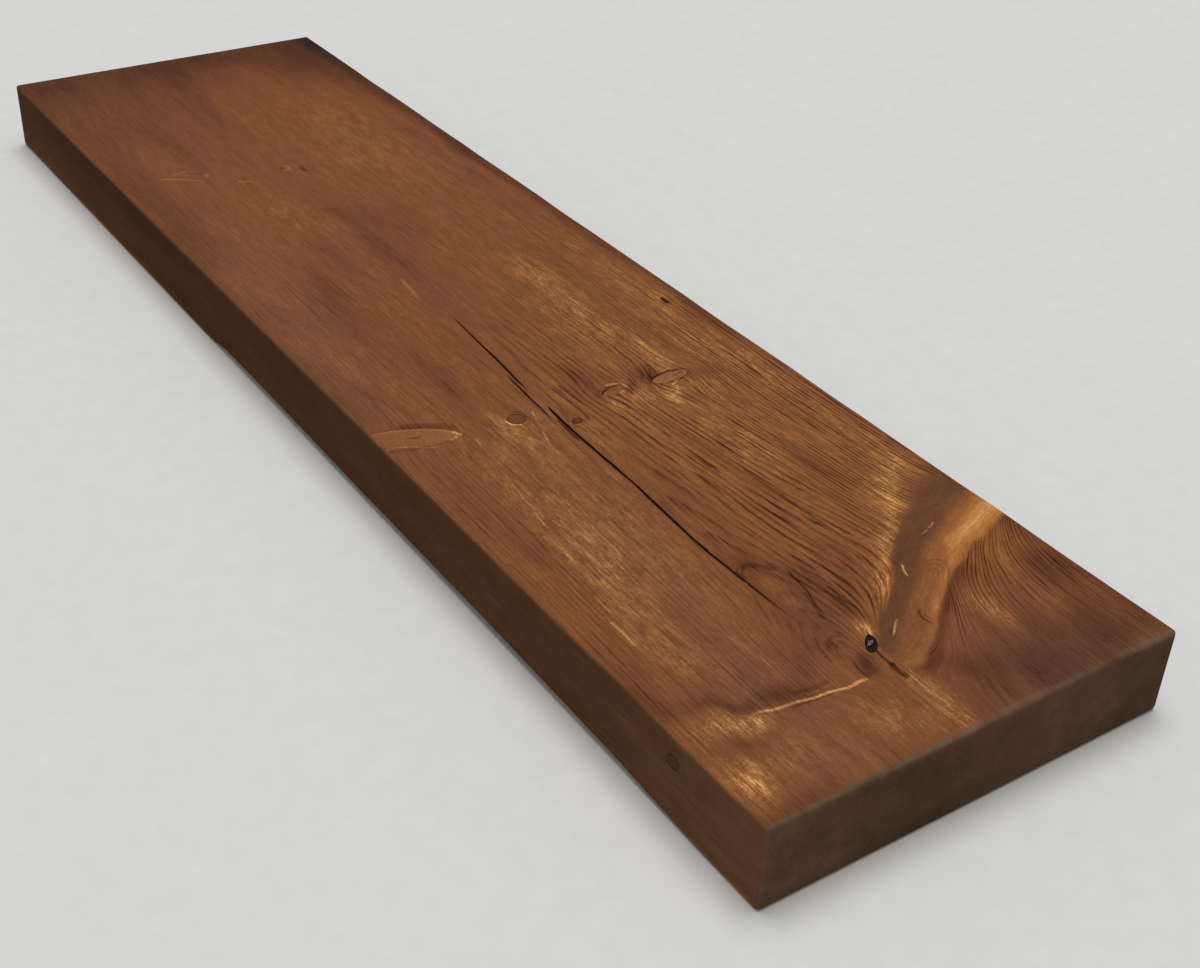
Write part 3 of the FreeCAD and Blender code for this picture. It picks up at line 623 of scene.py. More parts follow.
# The grid of points over an end, and how far it stays off the outline.
END_GRID, END_MARGIN = 2.6, 1.2


def column_places():
    """Places u of the plank's cross-sections, closer where knots and branches are."""
    places = list(END_STEPS)
    while places[-1] < LENGTH - END_STEPS[-1] - COARSE_STEP:
        u = places[-1]
        steps = [fine + max(low - u, u - high, 0) * 0.35 for low, high, fine in FINE_COLUMNS]
        places.append(u + min(COARSE_STEP, *steps))
    return np.array(places[:-1] + [LENGTH - s for s in END_STEPS[::-1]])


def rounded_off(radius, distance):
    """How far a rounded edge has drawn in, at a distance from the end."""
    inward = np.clip(radius - distance, 0, radius)
    return radius - math.sqrt(max(radius**2 - inward**2, 0))


def relief(u, v):
    """How far the planed top lies below its highest level, in millimetres."""
    distance = knot_fields(u, v)[0]
    low = 0.05 * (1 + wobble(31, 60, u, v * 2)) + 0.16 * hill(distance, 0, 1.1)
    inside, band = flame_fields(u, v)[:2]
    return PLANED_OFF + low + 0.10 * band - 0.08 * inside - 0.05 * (distance < -0.6)


def section(u):
    """The plank's outline at u as points v, d, from the back of the top on."""
    from_end = min(u, LENGTH - u)
    near = rounded_off(CORNER_ROUND, from_end)
    far = DEPTH - near
    top, bottom = rounded_off(TOP_ROUND, from_end), THICKNESS - rounded_off(UNDER_ROUND, from_end)
    waves = [height * wobble(seed, scale, np.array([u]))[0] for seed, scale, height in EDGE_WAVES]
    front, back = TOP_ROUND + waves[0], TOP_ROUND + waves[1]
    wane = np.interp(u / LENGTH, WANE_PLACES, WANE_SHARES, left=0, right=0) * WANE_ROUND
    wane = max(UNDER_ROUND, wane + waves[2] * (wane > 0))
    corners = (
        (far - front, top + front, front), (far - wane, bottom - wane, wane),
        (near + UNDER_ROUND, bottom - UNDER_ROUND, UNDER_ROUND), (near + back, top + back, back),
    )
    arcs = [arc(*corner, 90 * number - 90, ARC_ROWS) for number, corner in enumerate(corners)]
    points = []
    for number, rows in enumerate(SIDE_ROWS):
        points += [*np.linspace(arcs[number - 1][-1], arcs[number][0], rows + 1)[1:-1], *arcs[number]]
    return np.array(points)


def end_triangles(outline):
    """A grid of triangles over an end, whose outline is points v, d."""
    count = len(outline)
    low, high = outline.min(0) + 2 * END_MARGIN, outline.max(0) - END_MARGIN
    inner = []
    for row, v in enumerate(np.arange(low[0], high[0], END_GRID)):
        for d in np.arange(low[1] + END_MARGIN * (row % 2), high[1], END_GRID):
            if np.min(np.hypot(*(outline - (v, d)).T)) > END_MARGIN:
                inner.append((v, d))
    flat = [Vector(p) for p in (*outline, *inner)]
    edges = [(i, (i + 1) % count) for i in range(count)]
    return delaunay_2d_cdt(flat, edges, [], 1, 1e-6)[:4]


def build_skin(material):
    """The plank's skin: cross-sections joined along u, and a grid of triangles over each end."""
    places = column_places()
    rows = []
    for place_u in places:
        v, d = section(place_u).T
        u = np.full(len(v), place_u)
        fade = np.clip(1 - (d - d.min()) / TOP_ROUND, 0, 1)
        rows.append(np.column_stack((u, v, d + relief(u, v) * fade)))
    count = len(rows[0])
    faces = bands([count] * len(rows))
    points = np.concatenate(rows)
    for column, u, inward in ((0, 0, 1), (len(rows) - 1, LENGTH, -1)):
        placed, _, triangles, sources = end_triangles(rows[column][:, 1:])
        numbers, extra = [], []
        for at, source in zip(placed, sources):
            if source and source[0] < count:
                numbers.append(column * count + source[0])
            else:
                numbers.append(len(points) + len(extra))
                extra.append((u, *at))
        extra = np.array(extra)
        rough = 1 + wobble(51 + column, 9, extra[:, 1], extra[:, 2])
        extra[:, 0] += inward * (END_SUNK + END_ROUGH * rough)
        points = np.concatenate((points, extra))
        faces += [[numbers[i] for i in triangle] for triangle in triangles]
    plank = mesh_object("shelf_plank", to_frame(points), faces, material)
    turn_outward(plank.data)
    return plank


# What is cut out of the plank

# Recesses: the gap round a plate, the corners' radius, the room before the screw heads, and how far
# their cutters stand out of the plank.
RECESS_GAP, RECESS_CORNER, HEAD_ROOM = 1.0, 4.0, 1.0
PAST_FACE = 2.0
# Bores: the gap round a rod, the room past its tip, and the chamfer at the mouth.
BORE_CLEARANCE, BORE_ROOM, BORE_CHAMFER = 0.25, 5.0, 1.0
DRILL_POINT_DEGREES = 118

# The check: three strands, each a list of place along, place across and width, as shares.
CHECK_WIDTH, CHECK_DEPTH, CHECK_STEP = 1.5, 6.0, 1.6
CHECK_STRANDS = (
    ((0.529, 0.573, 0), (0.565, 0.582, 0.45), (0.588, 0.587, 0.8), (0.624, 0.598, 0.6), (0.636, 0.603, 0)),
    ((0.612, 0.605, 0), (0.641, 0.613, 0.5), (0.671, 0.618, 0)),
    ((0.656, 0.599, 0.5), (0.662, 0.601, 1), (0.694, 0.607, 0.85), (0.753, 0.609, 0.7),
     (0.776, 0.616, 0.8), (0.824, 0.622, 0.7), (0.871, 0.616, 0.4), (0.894, 0.611, 0)),
)
# The walls of the check at levels as shares of its depth: how far out they stand.
CHECK_WALL = ((-0.6, 1.0), (0.0, 1.0), (0.5, 0.6), (1.0, 0.12))

# The resin pit and the bead left in it: place, half-sizes, and lean in degrees.
PIT_U, PIT_V = 0.927 * LENGTH, 0.533 * DEPTH
PIT_HALVES, PIT_LEAN = (5.4, 2.9, 1.7), 36
BEAD_HALVES, BEAD_LEAN = (2.7, 1.5, 0.95), 66


def middle(node):
    """The centre of a CAD node in metres, and its lowest and highest corners in millimetres."""
    low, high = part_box(node)
    return (low + high) / 2, low / MM, high / MM


def row_at(centre, y, radii, limit=math.inf):
    """Points round an axis along Y, one for each radius, none further up or down than limit."""
    points = []
    for s, radius in enumerate(radii):
        angle = 2 * math.pi * s / len(radii)
        z = max(-limit, min(limit, radius * math.sin(angle)))
        points.append((centre.x + radius * math.cos(angle) * MM, y * MM, centre.z + z * MM))
    return points


def turned(profile, centre, segments):
    """Rows of a turned shape; the profile is of radius and y, in millimetres."""
    return [row_at(centre, y, [radius] * (segments if radius else 1)) for radius, y in profile]


def recess_cutter(side, floor, material):
    """What the router takes out of the back for one wall plate."""
    low, high = middle(f"bracket_plate_{side}")[1:]
    inset = RECESS_CORNER - RECESS_GAP
    x0, x1, z0, z1 = low.x + inset, high.x - inset, low.z + inset, high.z - inset
    outline = []
    for number, (x, z) in enumerate(((x1, z1), (x0, z1), (x0, z0), (x1, z0))):
        outline += arc(x, z, RECESS_CORNER, 90 * number, 8)
    rows = [[(x * MM, y * MM, z * MM) for x, z in outline] for y in (PAST_FACE, floor)]
    return skin(f"recess_{side}", rows, material, capped=True)


def bore_cutter(side, floor, material):
    """The blind bore for one rod, with a lead-in and the drill's point."""
    centre, low, high = middle(f"support_rod_{side}")
    radius = (high.x - low.x) / 2 + BORE_CLEARANCE
    mouth, end = radius + BORE_CHAMFER, low.y - BORE_ROOM
    point = end - radius / math.tan(math.radians(DRILL_POINT_DEGREES / 2))
    profile = (
        (0, 1), (mouth, 1), (mouth, floor), (radius, floor - BORE_CHAMFER), (radius, end), (0, point),
    )
    return skin(f"bore_{side}", turned(profile, centre, 48), material)


def check_cutter(number, strand, material):
    """A wedge with torn lips that follows one strand of the check."""
    along, back, width = np.array(strand).T
    u = np.arange(along[0] * LENGTH, along[-1] * LENGTH, CHECK_STEP)
    v = np.interp(u / LENGTH, along, back) * DEPTH
    v += 0.22 * wobble(61 + number, 18, u) + 0.07 * wobble(71 + number, 5, u)
    half = np.interp(u / LENGTH, along, width) * CHECK_WIDTH / 2
    half = np.maximum(half * (1 + 0.22 * wobble(81 + number, 14, u)), 0.05)
    deep = CHECK_DEPTH * np.clip(half / 0.3, 0.15, 1)
    rows = []
    for i in range(len(u)):
        row = []
        for hand in (-1, 1):
            wall = [
                (u[i], v[i] + hand * half[i] * share + 0.25 * max(level, 0),
                 level if level < 0 else PLANED_OFF + level * deep[i])
                for level, share in CHECK_WALL
            ]
            row += wall[::-hand]
        rows.append(to_frame(row))
    return skin(f"check_{number}", rows, material, capped=True)


def lens(name, halves, lean, centre, seed, rough, material, columns=40, tilts=24):
    """A lumpy lens whose long axis leans by so many degrees from u towards v."""
    sizes = [1] + [columns] * (tilts - 1) + [1]
    points = []
    for row, size in enumerate(sizes):
        tilt = math.pi * row / tilts
        points += [(x, y, -math.cos(tilt)) for x, y in circle(math.sin(tilt), size)]
    p = np.array(points)
    p *= 1 + rough * wobble(seed, 0.8, *p.T)[:, None]
    along, aside, down = (p * halves).T
    cos, sin = math.cos(math.radians(lean)), math.sin(math.radians(lean))
    offsets = np.column_stack((along * cos - aside * sin, along * sin + aside * cos, down))
    return skin(name, np.split(to_frame(offsets + centre), np.cumsum(sizes)[:-1]), material)


def build_resin():
    """What is left of the resin, dark and glassy, in the upper part of the pit."""
    g = surface("pine_resin", IOR=1.54, Roughness=0.06, Coat_Weight=0.6, Coat_Roughness=0.04)
    depth = g.noise(g.place(), 700)
    g.shade(
        Base_Color=g.ramp(depth * 0.5 + 0.5, (0, 0.6, 1), (16, 10, 8), (34, 20, 13), (84, 46, 22)),
        Normal=g.bump(depth, 0.0001, 0.4),
    )
    centre = (PIT_U - 1.4, PIT_V - 0.5, PLANED_OFF + 1.25)
    bead = lens("resin_bead", BEAD_HALVES, BEAD_LEAN, centre, 97, 0.16, g.owner)
    place(bead, "board", "stained_softwood", sharp_degrees=60)


# How the plank looks

# Tone along the front face and how it changes from its top down, and tone across the end.
FRONT_TONE_U = (0, 40, 160, 340, 500, 650, 850)
FRONT_TONE = (-0.12, -0.09, -0.20, -0.15, -0.08, -0.02, 0.15)
FRONT_SLOPE_U = (0, 200, 300, 560, 720, 850)
FRONT_SLOPE = (0.9, 0.9, 0.3, 0.4, 0.1, 0.3)
END_TONE_V = (0, 22, 36, 60, 110, 150, 180, 225)
END_TONE = (-0.10, -0.09, -0.04, 0.02, -0.08, -0.20, -0.05, 0.02)
# How strong the golden band is along the big branch.
GOLD_V, GOLD_STRENGTH = (0, 24, 48, 60, 72, 84), (0.28, 0.30, 0.26, 0.42, 0.30, 0.42)


def paint_fields(piece):
    """Writes what the wood material reads, from each vertex's place on the plank."""
    mesh = piece.data
    points = np.zeros(len(mesh.vertices) * 3, np.float32)
    mesh.vertices.foreach_get("co", points)
    u, v, d = to_plank(points.reshape(-1, 3).astype(float))
    on_top, under = smooth(d, 2.8, 0.9), smooth(d, THICKNESS - 3, THICKNESS - 1)
    on_front = smooth(v, DEPTH - 2.2, DEPTH - 1.0)
    at_end = smooth(np.minimum(u, LENGTH - u), 2.6, 0.5)
    inside, band, gold, lee, glow = flame_fields(u, v)
    distance, rings, fill, rim = knot_fields(u, v)
    distance = np.where(on_top > 0.5, distance, np.where(on_front > 0.5, front_knot_distance(u, d), 12))
    distance = np.clip(distance, -8, 8) + 6 * (1 - on_top) * (1 - on_front)

    lightness = 0.03 + 1.15 * tone(u, v) - (0.28 + 0.10 * smooth(v, 22, 40)) * band - 0.38 * lee
    lightness += np.interp(v, GOLD_V, GOLD_STRENGTH) * gold * (1 - band)
    front_tone = np.interp(u, FRONT_TONE_U, FRONT_TONE)
    front_tone += (d - 14) / 40 * 0.34 * np.interp(u, FRONT_SLOPE_U, FRONT_SLOPE)
    side_tone = np.where(at_end > 0.5, np.interp(v, END_TONE_V, END_TONE), front_tone * on_front)
    cast = sum_of(CAST_PATCHES, u, v) + 0.18 * band - 0.05 * inside * smooth(v, 50, 30)

    # Pale, greyer bands along the top edges, the end's top edge and the upright corner: partly real wear
    # and partly a painted highlight where the rounded edges catch the light, fainter away from the end.
    near_rim = np.maximum(at_end, smooth(np.minimum(v, DEPTH - v), 2.2, 0.6))
    worn_and_highlit_rim = hill(d, 0.75, 0.8) * smooth(near_rim, 0, 0.7) * (0.3 + 0.7 * at_end)
    reach = 2.4 + 1.8 * smooth(v, 160, 80) + 0.6 * wobble(33, 30, v)
    end_edge = smooth(LENGTH - u, reach, 0.8) * smooth(d, 3.4, 1.0)
    upright = smooth(np.hypot(LENGTH - u, DEPTH - v), 2.4, 0.9)

    fields = {
        "flow": (u, flow(u, v), d),
        "fibre": (v * 1.25, (u - across(FLAME_RIGHT, v)) * 0.85, d),
        "ring": ring(u, v, d),
        "tone": lightness * on_top + side_tone * (1 - on_top),
        "dusk": np.clip(sum_of(DUSK_PATCHES, u, v), 0, 1) * (1 - band) * on_top,
        "cast": cast * on_top,
        "lines": line_strength(u, v) * (0.35 + 0.65 * on_top + 0.4 * under),
        "branch": (inside * on_top, band * on_top, glow),
        "knot": (distance, rings, fill),
        "rim": rim * on_top - 0.2 * on_front,
        # Where the top's colour goes, on the top and most of the underside; the front, back and end get the
        # darker colours that paint in shade.
        "top": np.maximum(on_top, under * 0.8) * (1 - at_end),
        "end": at_end,
        "wear_and_edge_highlight": np.maximum(worn_and_highlit_rim, np.maximum(end_edge * 0.9, upright * 0.5)),
    }
    for name, marks in (("marks_a", MARKS_A), ("marks_b", MARKS_B)):
        offset, width, amount = mark_layer(marks, u, v)
        fields[name] = offset, width, amount * on_top
    for name, values in fields.items():
        kind, key = ("FLOAT_VECTOR", "vector") if isinstance(values, tuple) else ("FLOAT", "value")
        numbers = np.ravel(np.transpose(values)).astype(np.float32)
        mesh.attributes.new(name, kind, "POINT").data.foreach_set(key, numbers)


def wood_material():
    """Dark walnut stain under satin wax, over softwood, with painted shade on the front, back and end faces
    and a painted highlight along the edges.
    """
    g = surface("stained_softwood", IOR=1.45, Specular_IOR_Level=0.03)
    grain = g.attribute("flow", "Vector")
    rings, lines, own_tone = g.attribute("ring"), g.attribute("lines"), g.attribute("tone")
    top, end = g.attribute("top"), g.attribute("end")

    def waves(along, aside, detail=3.0, roughness=0.6):
        """Noise that changes over so many millimetres along the grain and across it."""
        return g.noise(grain, (1 / along, 1 / aside, 1 / aside), detail, roughness)

    clouds, mottle = waves(75, 13, 3.0, 0.55), waves(16, 4.5)
    streaks, flecks = waves(34, 1.1), waves(4.5, 0.42, 2.0)
    broken, dashes = waves(26, 1.7, 2.0, 0.55), waves(9, 0.8, 2.0)
    speckle = g.noise(g.place(), (820, 620, 820), 2.0, 0.65)
    hue = waves(26, 6, 4.0, 0.65)

    season = g.math("FRACT", rings * (1 / 2.65) + waves(90, 9, 2.0, 0.5) * 0.55)
    late = g.step(season, 0.42, 0.84) * (1 - g.step(season, 0.88, 1.0)) * g.step(broken, -0.45, 0.55)
    lines *= g.math("MAXIMUM", 1 + waves(120, 7, 1.0, 0.5) * 0.65, 0.15)

    shade = own_tone + clouds * 0.115 + mottle * 0.11
    shade = shade + streaks * (0.10 + lines * 0.15) + flecks * (0.09 + lines * 0.09) + speckle * 0.08
    shade -= g.step(dashes, 0.35, 1.0) * (0.16 + lines * 0.15)
    shade = shade - late * lines * 0.92 + lines * 0.12
    golden = g.math("MAXIMUM", own_tone, 0.0)
    shade += golden * (flecks * 0.45 + speckle * 0.5 - 0.62)
    shade += golden * 1.65 * g.step(mottle * 0.6 + dashes * 0.45 + flecks * 0.4, -0.25, 0.8)

    distance, own_ring, fill = g.split(g.attribute("knot", "Vector"))
    distance += mottle * 0.22
    inside = 1 - g.step(distance, -0.25, 0.25)
    rim = 1 - g.step(g.math("ABSOLUTE", distance + 0.1), 0.15, 0.75)
    ring_lines = g.math("SINE", own_ring * 3.6 + mottle * 1.8) * 0.10
    shade = g.blend(inside, shade, fill + ring_lines + speckle * 0.16 + mottle * 0.08)
    halo = (1 - g.step(distance, 0.0, 3.2)) * (1 - inside)
    shade = shade + rim * g.attribute("rim") * 0.9 - halo * 0.12

    flame, band, glow = g.split(g.attribute("branch", "Vector"))
    fibre = g.attribute("fibre", "Vector")
    strands = g.noise(fibre, (1 / 20, 1 / 1.1, 1 / 2), 3.0, 0.65)
    wisps = g.noise(fibre, (1 / 9, 1 / 4.5, 1 / 4))
    shade = g.blend(flame, shade, glow + strands * 0.15 + wisps * 0.12 + speckle * 0.13)
    shade = g.blend(band * 0.8, shade, strands * 0.17 + wisps * 0.15 + speckle * 0.08 - 0.35)

    for layer in ("marks_a", "marks_b"):
        offset, width, amount = g.split(g.attribute(layer, "Vector"))
        away = g.math("ABSOLUTE", offset + mottle * 0.25 + flecks * (width * 0.14 + 0.25))
        shape = 1 - g.step(away, width * 0.15, width * 0.5 + 0.3)
        shade += shape * amount * (0.85 + streaks * 0.3 + speckle * 0.15)

    level = shade * 0.5 + 0.5
    colour = g.ramp(
        level, (0, 0.22, 0.38, 0.5, 0.68, 0.84, 1), (30, 13, 6), (78, 43, 24), (103, 60, 35),
        (120, 74, 43), (151, 96, 53), (184, 125, 70), (216, 163, 104),
    )
    purple = g.math("MAXIMUM", g.attribute("dusk") * 0.55, g.step(hue, 0.2, 1.1) * 0.42)
    dusky = g.ramp(level, (0, 0.5, 1), (33, 15, 10), (113, 68, 49), (194, 138, 102))
    olive = g.step(hue, -0.15, -1.1) * 0.5 + golden * 0.25 + band * 0.4
    yellower = g.ramp(level, (0, 0.5, 1), (27, 15, 6), (122, 80, 38), (222, 170, 96))
    colour = g.mix(olive, g.mix(purple, colour, dusky), yellower)
    cast = g.attribute("cast")
    green, blue = g.math("EXPONENT", cast * 0.55), g.math("EXPONENT", cast * 2.2)
    colour = g.scaled(colour, g.node("ShaderNodeCombineXYZ", {0: 1.0, 1: green, 2: blue}))

    blots = g.noise(g.place(), (55, 55, 75), 3.0, 0.55)
    # Painted shade: the front and back faces take a darker ramp than the top, as faces that the light
    # reaches less. The end's ramp is darker and greyer too, partly the end grain's own colour and partly
    # painted shade.
    shaded_side_level = own_tone + clouds * 0.09 + mottle * 0.06 + streaks * 0.08 + flecks * 0.06
    shaded_side_level = shaded_side_level - late * lines * 0.18 + blots * 0.05 - inside * 0.10 - rim * 0.26 + 0.5
    side = g.ramp(shaded_side_level, (0, 0.5, 1), (45, 28, 17), (86, 57, 38), (128, 90, 65))
    pores = g.noise(g.place(), (700, 1100, 900), 3.0, 0.7)
    end_level = own_tone + blots * 0.14 + pores * 0.10 + mottle * 0.05 - late * 0.05 + 0.5
    end_grain_and_shade_colour = g.ramp(end_level, (0, 0.5, 1), (50, 36, 28), (94, 70, 52), (136, 106, 82))
    # The top's colour on the top and underside, the painted-shade colours on the front, back and end.
    colour = g.mix(top, g.mix(end, side, end_grain_and_shade_colour), colour)
    # The edge bands: partly wear, rougher and greyer, partly a painted highlight, mixed towards a pale
    # grey-brown.
    rubbed_and_highlit = g.attribute("wear_and_edge_highlight") * g.step(blots + mottle * 0.35, -1.4, 0.7)
    height = streaks * (0.25 + lines * 0.3) + flecks * 0.3 - late * lines * 0.9 - rim * 0.8
    return g.shade(
        Base_Color=g.mix(rubbed_and_highlit * 0.6, colour, srgb(118, 96, 76)),
        Roughness=0.50 + mottle * 0.035 - late * 0.03 + rubbed_and_highlit * 0.15 + (1 - top) * 0.42,
        Normal=g.bump(height, 0.00012, 0.8),
    )


def cut_wood_material(name, dark, light, rough):
    """Cut wood, as in a bore or down a check, its fibres between a darker and a lighter colour."""
    g = surface(name, Specular_IOR_Level=0.2, Roughness=rough)
    fibres = g.noise(g.place(), (60, 900, 900))
    colour = g.ramp(fibres * 0.5 + 0.5, (0.2, 0.8), dark, light)
    return g.shade(Base_Color=colour, Normal=g.bump(fibres, 0.0002, 0.7))


def build_plank():
    plank = build_skin(wood_material())
    routed = cut_wood_material("routed_softwood", (96, 62, 38), (150, 108, 70), 0.75)
    # Walls of the check and the pit: near black, partly stain and pitch soaked into the torn fibres, partly
    # painted shade down the narrow check and in the pit.
    torn_wood_and_shade = cut_wood_material("torn_softwood_and_painted_shade", (14, 8, 6), (30, 18, 12), 0.9)
    cutters = []
    for side in SIDES:
        floor = middle(f"wall_screw_{side}_a")[1].y - HEAD_ROOM
        cutters += [recess_cutter(side, floor, routed), bore_cutter(side, floor, routed)]
    cutters += [check_cutter(number, strand, torn_wood_and_shade) for number, strand in enumerate(CHECK_STRANDS)]
    pit_centre = (PIT_U, PIT_V + 0.6, PLANED_OFF)
    cutters.append(lens("pit", PIT_HALVES, PIT_LEAN, pit_centre, 91, 0.2, torn_wood_and_shade))
    cut(plank, *cutters)
    place(plank, "board", "stained_softwood", "shelf_board", sharp_degrees=38)
    paint_fields(plank)


# The brackets: plates, rods, washers, screws and plugs, each inside its CAD node's box

PLATE_CORNER, SLOT_TRAVEL, SLOT_RADIUS, SPIGOT_HOLE_RADIUS = 3.0, 4.4, 2.3, 4.05
EDGE_BREAK = 0.3
SPIGOT_RADIUS, TIP_CHAMFER = 4.0, 1.0
WASHER_HOLE_RADIUS, WASHER_BREAK = 2.15, 0.18
# Screws: the core, the thread and the step of the rows along it, and the length of the point.
SCREW_CORE_RADIUS, THREAD_PITCH, THREAD_START, THREAD_STEP = 1.45, 1.7, 1.2, 0.21
POINT_LENGTH = 5.5
# The blades that cut the cross recess: half-widths at the face and below, half-thickness and depth,
# and how far each screw is turned.
BLADE_WIDE, BLADE_NARROW, BLADE_THICK, BLADE_DEEP = 2.1, 0.75, 0.42, 1.75
CROSS_DEGREES = {"a": 17, "b": 52}
# Plugs: the hole and the legs across their flats, the slit, and where the mouth ends and it starts.
PLUG_HOLE_FLATS, PLUG_LEG_FLATS, PLUG_SLIT, PLUG_MOUTH = 4.2, 5.4, 0.8, 6.0
BARB_PITCH, BARB_DEPTH = 3.6, 0.45
# The plug's collar and ribs: place from its mouth, and radius as a share.
PLUG_COLLAR = (
    (0, 0.965), (0.12, 1.0), (0.7, 1.0), (1.1, 0.955), (2.0, 0.955), (2.3, 0.99), (2.7, 0.955),
    (3.6, 0.955), (3.9, 0.99), (4.3, 0.955), (5.4, 0.955), (PLUG_MOUTH, 0.955),
)
# The screw's head: radius as a share, and place behind its face.
SCREW_HEAD = (
    (0, 0), (0.3, 0.03), (0.55, 0.14), (0.75, 0.38), (0.9, 0.78), (0.975, 1.25), (1.0, 1.8),
)


def build_plate(side, material):
    """A flat plate with two slots and a hole, its edges broken."""
    node = f"bracket_plate_{side}"
    centre, low, high = middle(node)
    half_x, half_z, half_y = (high.x - low.x) / 2, (high.z - low.z) / 2, (high.y - low.y) / 2
    inner_x, inner_z = half_x - PLATE_CORNER, half_z - PLATE_CORNER
    outline = [
        (inner_x, -half_z), (half_x, -inner_z), (half_x, inner_z), (inner_x, half_z),
        (-inner_x, half_z), (-half_x, inner_z), (-half_x, -inner_z), (-inner_x, -half_z),
    ]
    loops = [outline, circle(SPIGOT_HOLE_RADIUS, 40)]
    for letter in LETTERS:
        slot_x = (middle(f"wall_screw_{side}_{letter}")[0].x - centre.x) / MM
        rim = [(x + 1e-6, z) for x, z in circle(SLOT_RADIUS, 32)]
        loops.append([(slot_x + math.copysign(SLOT_TRAVEL / 2, x) + x, z) for x, z in rim])
    shape = bpy.data.curves.new(node, "CURVE")
    shape.dimensions, shape.fill_mode = "2D", "BOTH"
    shape.bevel_depth, shape.bevel_resolution = EDGE_BREAK, 2
    shape.offset, shape.extrude = -EDGE_BREAK, half_y - EDGE_BREAK
    for loop in loops:
        spline = shape.splines.new("POLY")
        spline.points.add(len(loop) - 1)
        spline.use_cyclic_u = True
        for point, (x, z) in zip(spline.points, loop):
            point.co = (x, z, 0, 1)
    drawn = linked(node, shape)
    mesh = bpy.data.meshes.new_from_object(drawn)
    bpy.data.objects.remove(drawn)
    upright = Matrix.Rotation(math.pi / 2, 4, "X") @ Matrix.Scale(MM, 4)
    mesh.transform(Matrix.Translation(centre) @ upright)
    turn_outward(mesh)
    mesh.materials.clear()
    mesh.materials.append(material)
    place(linked(f"plate_{side}", mesh), "wall_brackets", "plate_steel", node)


def build_rod(side, material):
    """A turned rod: weld dish at the back end, shoulder on the plate, lead-in at the tip."""
    node = f"support_rod_{side}"
    centre, low, high = middle(node)
    plate_low, plate_high = middle(f"bracket_plate_{side}")[1:]
    radius, back, tip = (high.x - low.x) / 2, high.y, low.y + TIP_CHAMFER
    shoulder = plate_low.y - plate_high.y
    profile = [(0, back - 0.35), (1.5, back - 0.3), (2.6, back - 0.1), (3.3, back)]
    profile += [(SPIGOT_RADIUS - 0.15, back - 0.12), (SPIGOT_RADIUS, back - 0.4), (SPIGOT_RADIUS, shoulder)]
    profile += [(radius - 0.2, shoulder), (radius, shoulder - 0.2)]
    profile += [(radius, y) for y in np.linspace(shoulder - 8, tip + 4, 9)]
    profile += [(radius, tip + 0.1), (radius - 0.06, tip - 0.1), (radius - TIP_CHAMFER + 0.06, low.y + 0.1)]
    profile += [(radius - TIP_CHAMFER - 0.12, low.y), (0, low.y)]
    rod = skin(f"rod_{side}", turned(profile, centre, 64), material)
    place(rod, "wall_brackets", "rod_steel", node)


def build_washer(side, letter, material):
    """A flat washer with rounded rims."""
    node = f"washer_{side}_{letter}"
    centre, low, high = middle(node)
    outer, inner = (high.x - low.x) / 2, WASHER_HOLE_RADIUS
    profile = []
    for face, turn in ((low.y, 1), (high.y, -1)):
        corner = [
            (inner, face + turn * WASHER_BREAK), (inner + WASHER_BREAK, face), (outer - WASHER_BREAK, face),
            (outer - 0.05, face + turn * 0.06), (outer, face + turn * WASHER_BREAK),
        ]
        profile += corner[::turn]
    washer = skin(f"washer_ring_{side}_{letter}", turned(profile, centre, 56), material, closed=True)
    place(washer, "wall_brackets", "fastener_zinc", node)


def four_corners(centre, y, half_x, half_z):
    """The corners of a flat rectangle at y; all but the centre in millimetres."""
    ways = ((-1, -1), (1, -1), (1, 1), (-1, 1))
    return [(centre.x + i * half_x * MM, y * MM, centre.z + k * half_z * MM) for i, k in ways]


def build_screw(side, letter, material, segments=24):
    """A pan-head screw: cross recess, plain neck, helical thread and a point."""
    node = f"wall_screw_{side}_{letter}"
    centre, low, high = middle(node)
    head, seat = (high.x - low.x) / 2, middle(f"washer_{side}_{letter}")[1].y
    crest = head / 2
    profile = [(head * share, low.y + back) for share, back in SCREW_HEAD]
    profile += [(head, seat - 0.25), (head - 0.2, seat), (crest * 0.98, seat), (crest * 0.94, seat + 0.5)]
    rows = turned(profile + [(crest * 0.94, THREAD_START)], centre, segments)
    for y in np.arange(THREAD_START + 0.2, high.y - 0.05, THREAD_STEP):
        turn = (y / THREAD_PITCH - np.arange(segments) / segments) % 1
        ridge = np.maximum(0, 1 - abs(turn - 0.5) / 0.26) * smooth(y, THREAD_START, THREAD_START + 1.6)
        radii = SCREW_CORE_RADIUS + (crest - SCREW_CORE_RADIUS) * ridge
        rows.append(row_at(centre, y, radii * max(smooth(high.y - y, 0, POINT_LENGTH) ** 0.8, 0.06)))
    rows.append(row_at(centre, high.y, [0]))
    screw = skin(f"screw_{side}_{letter}", rows, material)
    for quarter in range(2):
        blade = skin("recess_blade", [
            four_corners(Vector(), low.y - 0.5, BLADE_WIDE + 0.3, BLADE_THICK + 0.08),
            four_corners(Vector(), low.y + BLADE_DEEP, BLADE_NARROW, BLADE_THICK * 0.6),
        ], material, capped=True)
        turn = Matrix.Rotation(math.radians(CROSS_DEGREES[letter] + 90 * quarter), 4, "Y")
        blade.data.transform(Matrix.Translation((centre.x, 0, centre.z)) @ turn)
        cut(screw, blade)
    place(screw, "wall_brackets", "fastener_zinc", node)


